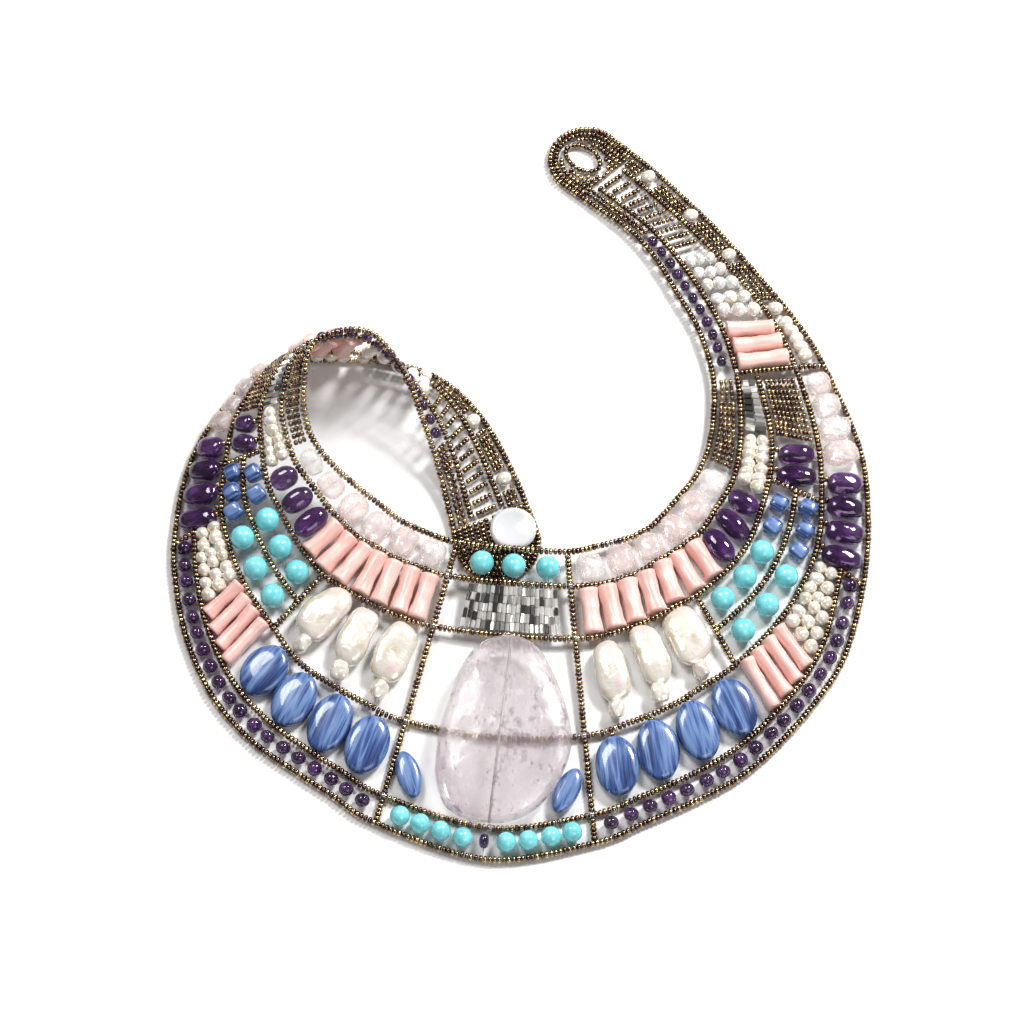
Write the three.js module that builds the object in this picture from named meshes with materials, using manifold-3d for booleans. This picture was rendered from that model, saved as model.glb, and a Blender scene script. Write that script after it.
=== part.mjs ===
// Beaded bib necklace: stones and strands of seed beads strung into one flat collar.
// Millimetres, +Z up. The collar lies on the floor, its neckline at the top of the plan.
// The right arm lies flat and ends in a button hole. The left arm stands on its outer edge,
// turns back in a loop and ends with its button under the middle of the neckline.

import * as THREE from "three";
import { mergeVertices } from "three/addons/utils/BufferGeometryUtils.js";
import Module from "manifold-3d";

const wasm = await Module();
wasm.setup();

// Driving sizes of the collar
const neckHalfWidth = 66;
const neckLength = 133;
const bibDepth = 100;
const bibRise = neckLength / 9;
const loopHeight = 30;
const crownHeight = 1.2;

// Strands
const strandDiameter = 1.9;
const railWidth = 1;
const strandSides = 8;
const crossSides = 5;
const threadDiameter = 0.8;
const threadSides = 4;
const clearance = 0.3;
const edgeHeight = 1.1;
const bandThickness = 1.9;

// Stones
const slabLength = 0.62 * bibDepth;
const slabWidth = 0.41 * bibDepth;
const slabThickness = 9.5;
const slabTurn = 0.1;
const turquoiseDiameter = 7.7;
const smallTurquoiseDiameter = 6.6;
const edgeRoundDiameter = 4.6;
const armRoundDiameter = 3.1;
const quartzThickness = 6.6;
const coralDiameter = 5;
const amethystThickness = 6.4;
const kyaniteLength = 19.5;
const kyaniteWidth = 13.6;
const kyaniteThickness = 5.4;
const smallKyaniteLength = 16;
const smallKyaniteWidth = 7;
const cubeSide = 5.4;
const pearlDiameter = 4.4;
const baroqueLength = 20;
const baroqueWidth = 9.4;
const smallPearlLength = 6.5;
const tubeDiameter = 1.9;
const stringSteps = 60;

// Button and its hole
const buttonDiameter = 14.8;
const buttonThickness = 2.7;
const buttonLift = 0.5;
const buttonAt = -16.85;
const buttonShare = 0.72;
const holeLength = 12.4;
const holeWidth = 6.6;
const holeAt = 17.08;
const tipSteps = 10;
const ladderGaps = 8;

const strandRadius = strandDiameter / 2;
const stoneGap = 0.7;
const seat = strandRadius + stoneGap;

const paint = {
  bronze: { color: 0x4a3420, roughness: 0.35, metalness: 0.8 },
  weave: { color: 0x3e2d1d, roughness: 0.4, metalness: 0.75 },
  turquoise: { color: 0x86d3d6, roughness: 0.3, metalness: 0 },
  amethyst: { color: 0x3f1d63, roughness: 0.15, metalness: 0 },
  lilac: { color: 0xcdbcc8, roughness: 0.12, metalness: 0 },
  quartz: { color: 0xeed9d6, roughness: 0.15, metalness: 0 },
  coral: { color: 0xeba795, roughness: 0.35, metalness: 0 },
  kyanite: { color: 0x3f69a8, roughness: 0.25, metalness: 0 },
  pearl: { color: 0xf1ecdf, roughness: 0.25, metalness: 0 },
  silver: { color: 0xb9b7b3, roughness: 0.12, metalness: 1 },
  button: { color: 0xf4f4f2, roughness: 0.2, metalness: 0 },
};

// Sections of the collar, one row each, numbered from the middle of the bib (0) to the ends.
// neckX is a share of neckHalfWidth, neckY of neckLength, both for the neckline strand.
// reachX and reachY lead from there to the edge strand, as shares of bibDepth.
// rise is the height of the neckline, a share of loopHeight, and crown the bow of the section
// between neckline and edge, a share of crownHeight.
const sectionColumns = ["at", "neckX", "neckY", "reachX", "reachY", "rise", "crown"];
const sectionRows = [
  [-17, -0.262, 0.004, 0.253, 0.065, 0.04, 0],
  [-16, -0.306, 0.11, 0.207, 0.128, 0.06, 0],
  [-15, -0.364, 0.22, 0.145, 0.178, 0.2, 0.5],
  [-14, -0.432, 0.311, 0.06, 0.196, 0.44, 1],
  [-13, -0.53, 0.411, -0.04, 0.128, 0.74, 1],
  [-12, -0.7, 0.487, -0.106, 0.04, 0.97, 1],
  [-11, -0.947, 0.455, -0.16, 0.062, 0.99, 1],
  [-10, -1.0, 0.341, -0.293, 0.033, 0.83, 1],
  [-9, -0.979, 0.265, -0.396, -0.06, 0.67, 1],
  [-8, -0.927, 0.223, -0.463, -0.251, 0.53, 1],
  [-7, -0.842, 0.183, -0.504, -0.369, 0.4, 1],
  [-6, -0.732, 0.144, -0.534, -0.493, 0.27, 1],
  [-5, -0.612, 0.102, -0.527, -0.62, 0.18, 1],
  [-4, -0.561, 0.083, -0.44, -0.735, 0.15, 1],
  [-3, -0.502, 0.065, -0.344, -0.81, 0.14, 1],
  [-2, -0.385, 0.037, -0.302, -0.852, 0.15, 0.4],
  [-1, -0.264, 0.012, -0.242, -0.91, 0.2, -1.6],
  [0, 0.015, -0.007, -0.086, -1.0, 0.227, -2],
  [1, 0.264, -0.012, 0.077, -0.942, 0.2, -1.6],
  [2, 0.41, 0.01, 0.138, -0.906, 0.12, 0.4],
  [3, 0.56, 0.034, 0.193, -0.868, 0.09, 1],
  [4, 0.634, 0.052, 0.277, -0.819, 0.09, 1],
  [5, 0.69, 0.073, 0.365, -0.739, 0.09, 1],
  [6, 0.794, 0.133, 0.432, -0.662, 0.09, 1],
  [7, 0.874, 0.183, 0.467, -0.583, 0.09, 1],
  [8, 0.92, 0.223, 0.506, -0.388, 0.09, 1],
  [9, 0.958, 0.274, 0.505, -0.22, 0.09, 1],
  [10, 0.986, 0.349, 0.469, -0.087, 0.09, 1],
  [11, 0.992, 0.466, 0.365, 0.046, 0.09, 1],
  [12, 0.926, 0.596, 0.334, 0.021, 0.09, 1],
  [13, 0.83, 0.692, 0.287, 0.055, 0.09, 1],
  [14, 0.72, 0.796, 0.239, 0.079, 0.09, 1],
  [15, 0.597, 0.876, 0.227, 0.084, 0.08, 0.5],
  [16, 0.427, 0.948, 0.207, 0.132, 0.05, 0],
  [17, 0.272, 1.01, 0.147, 0.2, 0.04, 0],
];
const lastSection = 17;

// Where the inner strands cross each section, as shares of the way from neckline to edge.
// The rows count sections from the middle. The left arm is turned up on its edge, so its
// strands lie apart a little differently.
const strandColumns = ["second", "third", "fourth", "fifth"];
const strandRows = [
  [0.11, 0.28, 0.61, 0.9],
  [0.12, 0.3, 0.635, 0.905],
  [0.14, 0.325, 0.65, 0.91],
  [0.14, 0.325, 0.65, 0.91],
  [0.13, 0.32, 0.64, 0.905],
  [0.14, 0.34, 0.655, 0.905],
  [0.17, 0.365, 0.67, 0.9],
  [0.16, 0.37, 0.68, 0.88],
  [0.18, 0.375, 0.715, 0.865],
  [0.19, 0.39, 0.71, 0.92],
  [0.19, 0.39, 0.71, 0.95],
  [0.21, 0.38, 0.74, 0.95],
  [0.23, 0.4, 0.76, 0.95],
  [0.26, 0.4, 0.77, 0.95],
  [0.25, 0.4, 0.71, 0.95],
  [0.25, 0.4, 0.7, 0.95],
  [0.27, 0.4, 0.71, 0.95],
  [0.28, 0.4, 0.72, 0.95],
];
const leftStrandRows = [
  [0.11, 0.28, 0.61, 0.9],
  [0.12, 0.3, 0.64, 0.905],
  [0.13, 0.325, 0.66, 0.91],
  [0.14, 0.335, 0.665, 0.91],
  [0.14, 0.34, 0.665, 0.905],
  [0.16, 0.365, 0.65, 0.9],
  [0.16, 0.365, 0.66, 0.89],
  [0.15, 0.355, 0.667, 0.875],
  [0.16, 0.36, 0.67, 0.86],
  [0.18, 0.38, 0.67, 0.92],
  [0.24, 0.46, 0.73, 0.95],
  [0.24, 0.44, 0.74, 0.95],
  [0.25, 0.42, 0.75, 0.95],
  [0.31, 0.4, 0.76, 0.95],
  [0.33, 0.4, 0.76, 0.95],
  [0.31, 0.4, 0.71, 0.95],
  [0.27, 0.4, 0.69, 0.95],
  [0.28, 0.4, 0.7, 0.95],
];

// Sections where the work changes
const frameAt = 1;
const turquoiseAt = 5;
const fifthEndsAt = 8;
const amethystAt = 9;
const armAt = 11;
const ladderAt = 14;
const bandAt = 16.4;
const innerEnd = bandAt - 0.05;

// The sections that each row of stones or weave runs between, from the middle outwards
const runs = {
  roseQuartz: [1.15, 8.3],
  wovenCollar: [8.5, 10.9],
  armAmethyst: [11.15, 14.65],
  innerCoral: [1.16, 5.9],
  innerAmethyst: [6.0, 8.45],
  innerPearls: [8.6, 9.9],
  armTubes: [10.03, 10.86],
  baroque: [1.2, 4.8],
  turquoise: [5.15, 7.45],
  innerCubes: [7.6, 8.85],
  outerCubes: [7.55, 8.85],
  middleAmethyst: [9.1, 9.9],
  seedBlock: [10, 10.88],
  kyanite: [1.12, 4.98],
  outerCoral: [5.1, 6.3],
  outerPearls: [6.35, 7.85],
  edgeAmethyst: [1.12, 7.9],
  outerAmethyst: [8.1, 9.5],
  outerQuartz: [9.6, 10.86],
  armCoral: [11.2, 12.15],
  armPearls: [12.25, 13.85],
  innerLeg: [14.8, 16.5],
  outerLeg: [11.2, 16.5],
  centreField: [-0.88, 0.88],
};
const centreTurquoiseAt = [-0.58, 0, 0.6];
const edgeStoneCount = 9;
const middleStoneShare = 0.7;
const smallKyaniteAt = 0.78;
const smallKyaniteTurn = 0.5;

function table(columns, rows) {
  return rows.map((row) => Object.fromEntries(columns.map((name, i) => [name, row[i]])));
}

const sections = table(sectionColumns, sectionRows);
const strandShares = table(strandColumns, strandRows);
const leftStrandShares = table(strandColumns, leftStrandRows);

function spline(list, index, pick) {
  const i = Math.min(Math.max(Math.floor(index), 0), list.length - 2);
  const t = index - i;
  const value = (k) => pick(list[Math.min(Math.max(k, 0), list.length - 1)]);
  const [a, b, c, d] = [value(i - 1), value(i), value(i + 1), value(i + 2)];
  const bend = (2 * a - 5 * b + 4 * c - d) * t + (3 * b - a - 3 * c + d) * t * t;
  return b + 0.5 * t * (c - a + bend);
}

function section(at) {
  const index = Math.min(Math.max(at, -lastSection), lastSection) + lastSection;
  const read = (name) => spline(sections, index, (row) => row[name]);
  const neck = new THREE.Vector3(
    read("neckX") * neckHalfWidth,
    read("neckY") * neckLength - bibRise,
    read("rise") * loopHeight,
  );
  const edge = new THREE.Vector3(
    neck.x + read("reachX") * bibDepth,
    neck.y + read("reachY") * bibDepth,
    edgeHeight,
  );
  return { neck, edge, bow: read("crown") * crownHeight };
}

// A point of the collar: at counts the sections, share runs from the neckline (0) to the
// edge (1). Past the last section it runs straight on, by half the width of the arm for 1.
function onRib(at, share) {
  const { neck, edge, bow } = section(at);
  const point = neck.clone().lerp(edge, share);
  point.z += bow * 4 * share * (1 - share);
  const past = Math.abs(at) - lastSection;
  if (past > 0) {
    const across = edge.clone().sub(neck).multiplyScalar(0.5);
    const forward = new THREE.Vector3(-across.y, across.x, 0).multiplyScalar(Math.sign(at));
    point.addScaledVector(forward, past);
  }
  return point;
}

// Strands are numbered 0 (neckline), 1 (second) to 4 (fifth) and 5 (edge).
function strandShare(at, strand) {
  const shares = at < 0 ? leftStrandShares : strandShares;
  const read = (k) => {
    if (k <= 0) {
      return 0;
    }
    return k >= 5 ? 1 : spline(shares, Math.abs(at), (row) => row[strandColumns[k - 1]]);
  };
  const low = Math.floor(strand);
  const inner = read(low);
  return inner + (read(low + 1) - inner) * (strand - low);
}

function onStrand(at, strand) {
  return onRib(at, strandShare(at, strand));
}

// The directions at a point: along the collar, across it towards the edge, and its face
function directions(at, share) {
  const small = 0.02;
  const along = onRib(at + small, share).sub(onRib(at - small, share)).normalize();
  const across = onRib(at, share + small).sub(onRib(at, share - small)).normalize();
  const slant = along.clone().cross(across).length();
  return { along, across, slant, face: across.clone().cross(along).normalize() };
}

function solid(geometry) {
  const bare = geometry.index ? geometry.toNonIndexed() : geometry.clone();
  bare.deleteAttribute("normal");
  bare.deleteAttribute("uv");
  const merged = mergeVertices(bare, 1e-4);
  const vertProperties = Float32Array.from(merged.attributes.position.array);
  const triVerts = Uint32Array.from(merged.index.array);
  const kept = [];
  for (let i = 0; i < triVerts.length; i += 3) {
    const [a, b, c] = triVerts.subarray(i, i + 3);
    if (a !== b && b !== c && c !== a) {
      kept.push(a, b, c);
    }
  }
  const mesh = new wasm.Mesh({ numProp: 3, vertProperties, triVerts: Uint32Array.from(kept) });
  return new wasm.Manifold(mesh);
}

function geometryOf(manifold) {
  const mesh = manifold.getMesh();
  const geometry = new THREE.BufferGeometry();
  const position = Float32Array.from(mesh.vertProperties);
  geometry.setAttribute("position", new THREE.BufferAttribute(position, 3));
  geometry.setIndex(new THREE.BufferAttribute(Uint32Array.from(mesh.triVerts), 1));
  return geometry;
}

function fuse(geometries) {
  const joined = geometries.map(solid).reduce((whole, next) => whole.add(next));
  return geometryOf(joined);
}

const collar = new THREE.Group();

function add(name, look, geometry) {
  const mesh = new THREE.Mesh(geometry, new THREE.MeshStandardMaterial(paint[look]));
  mesh.name = name;
  collar.add(mesh);
  return mesh;
}

function tube(points, diameter, sides, steps) {
  const section2d = new THREE.Shape();
  for (let i = 0; i < sides; i += 1) {
    const angle = (2 * Math.PI * (i + 0.5)) / sides;
    const x = Math.cos(angle) * diameter / 2;
    const y = Math.sin(angle) * diameter / 2;
    if (i === 0) {
      section2d.moveTo(x, y);
    } else {
      section2d.lineTo(x, y);
    }
  }
  const extrudePath = new THREE.CatmullRomCurve3(points, false, "centripetal");
  return new THREE.ExtrudeGeometry(section2d, { steps, extrudePath, curveSegments: 1 });
}

// A lathed bead, its drilled axis along Y
function turned(profile, sides) {
  const points = profile.map(([radius, y]) => new THREE.Vector2(radius, y));
  return new THREE.LatheGeometry(points, sides);
}

function ovalBead(length, width, sides = 8) {
  const half = length / 2;
  const radius = width / 2;
  return turned([
    [0, -half], [0.78 * radius, -0.66 * half], [radius, 0], [0.78 * radius, 0.66 * half],
    [0, half],
  ], sides);
}

function roundBead(diameter) {
  const radius = diameter / 2;
  const ring = radius * Math.SQRT1_2;
  return turned([[0, -radius], [ring, -ring], [radius, 0], [ring, ring], [0, radius]], 8);
}

function boneBead(length, width) {
  const half = length / 2;
  const radius = width / 2;
  return turned([[0, -half], [radius, -half], [0.86 * radius, 0], [radius, half], [0, half]], 8);
}

// Puts a bead on the collar with its axis along the rib, or turned from it about the face.
// flatten thins it towards the face, and lowest is the height that its underside keeps.
function seatBead(geometry, at, share, options = {}) {
  const { flatten = 1, thickness = 0, lowest = 0, turn = 0 } = options;
  const { across, face } = directions(at, share);
  const axis = across.clone().applyAxisAngle(face, turn);
  const side = face.clone().cross(axis);
  const centre = onRib(at, share);
  const under = thickness / 2 * Math.abs(face.z);
  centre.z = Math.max(centre.z, under + lowest);
  const place = new THREE.Matrix4().makeBasis(side, axis, side.clone().cross(axis));
  const shaped = geometry.clone().scale(1, 1, flatten);
  return shaped.applyMatrix4(place.setPosition(centre));
}

// The length that a stone may have between two strands. A wide end stops earlier where the
// strand crosses it at a slant.
function between(at, inner, outer, width = 0, gap = stoneGap) {
  const start = onStrand(at, inner);
  const end = onStrand(at, outer);
  const way = end.clone().sub(start).normalize();
  const slant = (strand) => {
    const run = onStrand(at + 0.05, strand).sub(onStrand(at - 0.05, strand)).normalize();
    const across = run.clone().cross(way).length();
    return (Math.abs(run.dot(way)) * width / 2 + strandRadius + gap) / across;
  };
  return start.distanceTo(end) - slant(inner) - slant(outer);
}

function runLength(from, to, strand) {
  const parts = 12;
  let length = 0;
  for (let i = 0; i < parts; i += 1) {
    const a = from + ((to - from) * i) / parts;
    const b = from + ((to - from) * (i + 1)) / parts;
    length += onStrand(a, strand).distanceTo(onStrand(b, strand));
  }
  return length;
}

// The places of a number of beads along a row, evenly by length
function places(from, to, count, strand) {
  const whole = runLength(from, to, strand);
  const found = [];
  const fine = 200;
  let passed = 0;
  let wanted = 0.5;
  for (let i = 0; i < fine && found.length < count; i += 1) {
    const a = from + ((to - from) * i) / fine;
    const b = from + ((to - from) * (i + 1)) / fine;
    passed += onStrand(a, strand).distanceTo(onStrand(b, strand));
    if (passed >= (wanted / count) * whole) {
      found.push((a + b) / 2);
      wanted += 1;
    }
  }
  return found;
}

function threadThrough(centres) {
  return tube(centres, threadDiameter, threadSides, Math.max(centres.length - 1, 1));
}

function centreOf(geometry) {
  geometry.computeBoundingBox();
  return geometry.boundingBox.getCenter(new THREE.Vector3());
}

// A row of stones, held together by the thread that runs through them, or by touching
function strungField(name, look, beads, touching = false) {
  const thread = touching ? [] : [threadThrough(beads.map(centreOf))];
  return add(name, look, fuse([...beads, ...thread]));
}

// A string of touching beads in one lathed body, bent along its row
function bentString(name, look, [from, to], strand, diameters) {
  const length = runLength(from, to, strand);
  const pitch = length / diameters.length;
  const profile = [[0, 0]];
  diameters.forEach((diameter, i) => {
    const radius = diameter / 2;
    const middle = (i + 0.5) * pitch;
    profile.push([0.3 * radius, middle - pitch / 2 + 0.02]);
    profile.push([radius, middle - 0.2 * diameter], [radius, middle + 0.2 * diameter]);
  });
  profile.push([0, length]);
  const straight = turned(profile, 10);
  const position = straight.attributes.position;
  const spots = places(from, to, stringSteps, strand);
  for (let i = 0; i < position.count; i += 1) {
    const reached = (position.getY(i) / length) * stringSteps - 0.5;
    const at = spline(spots, reached, (spot) => spot);
    const share = strandShare(at, strand);
    const { along, face } = directions(at, share);
    const point = onRib(at, share);
    point.z = Math.max(point.z, (Math.max(...diameters) / 2) * Math.abs(face.z));
    point.addScaledVector(along.cross(face), position.getX(i) * Math.sign(to - from));
    point.addScaledVector(face, position.getZ(i));
    position.setXYZ(i, point.x, point.y, point.z);
  }
  return add(name, look, geometryOf(solid(straight)));
}

// The outer form of a string of small round beads
function plainString(name, look, side, run, strand, diameter, steps) {
  const points = strandPoints(side * run[0], side * run[1], strand);
  points.forEach((point) => {
    point.z = Math.max(point.z, diameter / 2);
  });
  return add(name, look, tube(points, diameter, strandSides, steps));
}

// A woven strip between two strands, as thick as its seed beads
function wovenStrip(side, run, inner, outer, thickness, steps) {
  const [from, to] = run.map((at) => side * at);
  const box = new THREE.BoxGeometry(1, 1, 1, steps, 1, 1);
  return bendStrip(box, (x, y) => {
    const at = from + (to - from) * (x + 0.5);
    const low = strandShare(at, inner);
    const high = strandShare(at, outer);
    const trim = seat / onRib(at, 0).distanceTo(onRib(at, 1));
    return { at, share: y < 0 ? low + trim : high - trim };
  }, thickness, to < from);
}

function bendStrip(geometry, locate, thickness, flipped) {
  const position = geometry.attributes.position;
  for (let i = 0; i < position.count; i += 1) {
    const { at, share } = locate(position.getX(i), position.getY(i));
    const point = onRib(at, share);
    const { face } = directions(at, share);
    point.addScaledVector(face, position.getZ(i) * thickness);
    position.setXYZ(i, point.x, point.y, point.z);
  }
  return turnedOutwards(geometry, flipped);
}

function turnedOutwards(geometry, flipped) {
  const whole = geometry.index ? geometry.toNonIndexed() : geometry;
  if (!flipped) {
    const position = whole.attributes.position;
    for (let i = 0; i < position.count; i += 3) {
      const kept = new THREE.Vector3().fromBufferAttribute(position, i + 1);
      const moved = new THREE.Vector3().fromBufferAttribute(position, i + 2);
      position.setXYZ(i + 1, moved.x, moved.y, moved.z);
      position.setXYZ(i + 2, kept.x, kept.y, kept.z);
    }
  }
  return whole;
}

function crossStrand(at, inner, outer) {
  const start = onStrand(at, inner);
  const end = onStrand(at, outer);
  const way = end.clone().sub(start).normalize();
  start.addScaledVector(way, strandDiameter + clearance);
  return tube([start, end], strandDiameter, crossSides, 1);
}

function strandPoints(from, to, strand, perSection = 2) {
  const points = [];
  const count = Math.round(Math.abs(to - from) * perSection);
  for (let i = 0; i <= count; i += 1) {
    points.push(onStrand(from + ((to - from) * i) / count, strand));
  }
  return points;
}

// The outer strands meet at the middle of each round end, 0.3 mm apart.
function roundTheEnd(side, edge) {
  const points = [];
  for (const degrees of [25, 50, 75, 84]) {
    const angle = THREE.MathUtils.degToRad(degrees);
    const share = (1 - Math.cos(angle)) / 2;
    points.push(onRib(side * (lastSection + Math.sin(angle)), edge ? 1 - share : share));
  }
  return points;
}

function outerStrand(edge) {
  return [
    ...roundTheEnd(-1, edge).reverse(),
    ...strandPoints(-lastSection, lastSection, edge ? 5 : 0),
    ...roundTheEnd(1, edge),
  ];
}

function buildStrands() {
  const tubes = (points, steps) => tube(points, strandDiameter, strandSides, steps);
  add("neckline_strand", "bronze", tubes(outerStrand(false), 44));
  const second = [tubes(strandPoints(-innerEnd, innerEnd, 1), 36)];
  const third = [tubes(strandPoints(-armAt + 0.14, armAt - 0.14, 2), 26)];
  const fourth = [tubes(strandPoints(-innerEnd, innerEnd, 3), 44)];
  const fifth = [tubes(strandPoints(-fifthEndsAt, fifthEndsAt, 4), 33)];
  const edge = [tubes(outerStrand(true), 60)];
  for (const side of [-1, 1]) {
    second.push(crossStrand(side * frameAt, 0, 1));
    third.push(crossStrand(side * frameAt, 1, 2));
    fourth.push(crossStrand(side * frameAt, 2, 3));
    fifth.push(crossStrand(side * frameAt, 3, 4));
    edge.push(crossStrand(side * frameAt, 4, 5));
    fourth.push(crossStrand(side * turquoiseAt, 2, 3));
    fourth.push(crossStrand(side * amethystAt, 2, 3));
    fourth.push(tubes(strandPoints(side * turquoiseAt, side * amethystAt, 2.5), 11));
    fifth.push(crossStrand(side * fifthEndsAt, 3, 4));
    edge.push(crossStrand(side * fifthEndsAt, 4, 5));
    fourth.push(crossStrand(side * armAt, 1, 3));
    edge.push(crossStrand(side * armAt, 3, 5));
  }
  add("second_strand", "bronze", fuse(second));
  add("third_strand", "bronze", fuse(third));
  add("fourth_strand", "bronze", fuse(fourth));
  add("fifth_strand", "bronze", fuse(fifth));
  add("edge_strand", "bronze", fuse(edge));
}

// The pear-shaped slab. Its outline is given in shares of its length and width, from the
// drilled top round to the right.
const slabOutline = [
  [0, 0.5], [0.2, 0.48], [0.36, 0.36], [0.46, 0.16], [0.5, -0.06], [0.47, -0.26],
  [0.34, -0.42], [0.12, -0.5], [-0.14, -0.49], [-0.36, -0.4], [-0.49, -0.22], [-0.5, -0.02],
  [-0.44, 0.2], [-0.34, 0.38], [-0.18, 0.48],
];

function buildSlab() {
  const chamfer = 0.36 * slabThickness;
  const outline = new THREE.Shape();
  const width = slabWidth - 2 * chamfer;
  const length = slabLength - 2 * chamfer;
  const points = slabOutline.map(([x, y]) => new THREE.Vector2(x * width, y * length));
  outline.setFromPoints(points);
  const geometry = new THREE.ExtrudeGeometry(outline, {
    depth: slabThickness - 2 * chamfer,
    bevelThickness: chamfer,
    bevelSize: chamfer,
    bevelSegments: 2,
    steps: 1,
  });
  geometry.translate(0, 0, chamfer - slabThickness / 2);
  const top = onStrand(0, 2);
  const bottom = onStrand(0, 4);
  const middle = top.clone().lerp(bottom, 0.5);
  middle.z = onStrand(0, 3).z + seat + slabThickness / 2;
  geometry.rotateZ(-slabTurn);
  geometry.translate(middle.x, middle.y, middle.z);
  add("amethyst_slab", "lilac", geometry);
}

function buildTubeField(name, side, run, count) {
  const [from, to] = run.map((at) => side * at);
  const tubes = places(from, to, count, 1.5).map((at) => {
    const radius = (runLength(from, to, 1.5) / count) * 0.56;
    const half = between(at, 1, 2, 2 * radius) / 2;
    const bead = turned([[0, -half], [radius, -half], [radius, half], [0, half]], 8);
    const share = (strandShare(at, 1) + strandShare(at, 2)) / 2;
    return seatBead(bead, at, share, { thickness: tubeDiameter, flatten: tubeDiameter / (2 * radius) });
  });
  add(name, "silver", fuse(tubes));
}

// Touching stones have blunt ends. Those on a thread are pointed, so they reach closer to the
// strands.
function rowOfStones(name, look, side, row, range, count, make, touching = true) {
  const blunt = touching ? 1.1 : 0.2;
  const gap = touching ? stoneGap : clearance;
  const [inner, outer] = row;
  const [from, to] = range.map((at) => side * at);
  const strand = (inner + outer) / 2;
  const pitch = runLength(from, to, strand) / count;
  const beads = places(from, to, count, strand).map((at, i) => {
    const share = (strandShare(at, inner) + strandShare(at, outer)) / 2;
    const room = pitch * directions(at, share).slant;
    return make(at, share, between(at, inner, outer, room * blunt, gap), room);
  });
  return strungField(name, look, beads, touching);
}

function buildSide(side, end) {
  const name = (piece) => `${piece}_${end}`;
  const oval = (thickness) => (at, share, length, pitch) => {
    const width = pitch * 0.95;
    const options = { thickness, flatten: thickness / width };
    return seatBead(ovalBead(length, width), at, share, options);
  };
  const ball = (diameter) => (at, share) => seatBead(roundBead(diameter), at, share, {
    thickness: diameter,
  });
  const bone = (at, share, length, pitch) => {
    const width = pitch * 1.1;
    const options = { thickness: coralDiameter, flatten: coralDiameter / width };
    return seatBead(boneBead(length, width), at, share, options);
  };

  // Row between the neckline and the second strand
  rowOfStones(name("rose_quartz"), "quartz", side, [0, 1], runs.roseQuartz, 6,
    oval(quartzThickness), false);
  add(name("woven_collar"), "weave",
    wovenStrip(side, runs.wovenCollar, 0, 1, bandThickness, 4));
  plainString(name("arm_amethyst"), "amethyst", side, runs.armAmethyst, 0.5, armRoundDiameter, 12);

  // Row between the second and the third strand
  rowOfStones(name("inner_coral"), "coral", side, [1, 2], runs.innerCoral, 7, bone);
  rowOfStones(name("inner_amethyst"), "amethyst", side, [1, 2], runs.innerAmethyst, 3,
    oval(amethystThickness), false);
  add(name("inner_pearls"), "pearl", wovenStrip(side, runs.innerPearls, 1, 2, pearlDiameter, 3));
  buildTubeField(name("arm_tubes"), side, runs.armTubes, 4);

  // Row between the third and the fourth strand
  rowOfStones(name("baroque_pearls"), "pearl", side, [2, 3], runs.baroque, 3, (at, share, length) => {
    const rib = onRib(at, 0).distanceTo(onRib(at, 1));
    const bigLength = Math.min(baroqueLength, length - smallPearlLength);
    const upper = share - smallPearlLength / 2 / rib;
    const lower = share + (bigLength / 2 - clearance) / rib;
    const low = { thickness: baroqueWidth * 0.62, flatten: 0.62 };
    const big = seatBead(ovalBead(bigLength, baroqueWidth), at, upper, low);
    const small = seatBead(ovalBead(smallPearlLength, smallPearlLength * 0.8, 6), at, lower, {
      thickness: baroqueWidth * 0.62,
    });
    return fuse([big, small]);
  }, false);
  buildTurquoise(name("turquoise"), side);
  buildCubes(name("kyanite_cubes"), side);
  rowOfStones(name("middle_amethyst"), "amethyst", side, [2, 3], runs.middleAmethyst, 2,
    oval(amethystThickness), false);
  add(name("seed_block"), "weave", wovenStrip(side, runs.seedBlock, 2, 3, bandThickness, 3));

  // Row between the fourth and the fifth strand
  rowOfStones(name("outer_coral"), "coral", side, [3, 4], runs.outerCoral, 4, bone);
  add(name("outer_pearls"), "pearl", wovenStrip(side, runs.outerPearls, 3, 4, pearlDiameter, 4));

  // Bottom edge, and the outer row up to the arm
  plainString(name("edge_amethyst"), "amethyst", side, runs.edgeAmethyst, 4.5,
    edgeRoundDiameter, 18);
  rowOfStones(name("outer_amethyst"), "amethyst", side, [3, 5], runs.outerAmethyst, 4,
    oval(amethystThickness), false);
  rowOfStones(name("outer_quartz"), "quartz", side, [3, 5], runs.outerQuartz, 4,
    oval(quartzThickness), false);

  // Arm
  rowOfStones(name("arm_coral"), "coral", side, [1, 3], runs.armCoral, 3, bone);
  add(name("arm_pearls"), "pearl", wovenStrip(side, runs.armPearls, 1, 3, pearlDiameter, 5));
  buildEndBand(name("end_band"), side);
}

// Six round stones in two short rows on either side of the short strand
function buildTurquoise(name, side) {
  const [from, to] = runs.turquoise.map((at) => side * at);
  const inner = places(from, to, 3, 2.25).map((at) => [at, 2.25]);
  const outer = places(from, to, 3, 2.75).map((at) => [at, 2.74]);
  for (const [label, row] of [["a", inner], ["b", outer]]) {
    const beads = row.map(([at, strand]) => seatBead(roundBead(turquoiseDiameter), at,
      strandShare(at, strand), { thickness: turquoiseDiameter }));
    strungField(`${name}_${label}`, "turquoise", beads);
  }
}

function buildCubes(name, side) {
  const cube = () => new THREE.BoxGeometry(cubeSide, cubeSide, cubeSide);
  const fields = [["a", 2.25, runs.innerCubes, 2], ["b", 2.75, runs.outerCubes, 3]];
  for (const [label, strand, [from, to], count] of fields) {
    const beads = places(side * from, side * to, count, strand).map((at) => {
      const wide = between(at, strand - 0.25, strand + 0.25, cubeSide);
      const bead = cube().scale(1, Math.min(0.9 * wide / cubeSide, 1), 1);
      return seatBead(bead, at, strandShare(at, strand), { thickness: cubeSide });
    });
    strungField(`${name}_${label}`, "kyanite", beads);
  }
}

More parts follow.
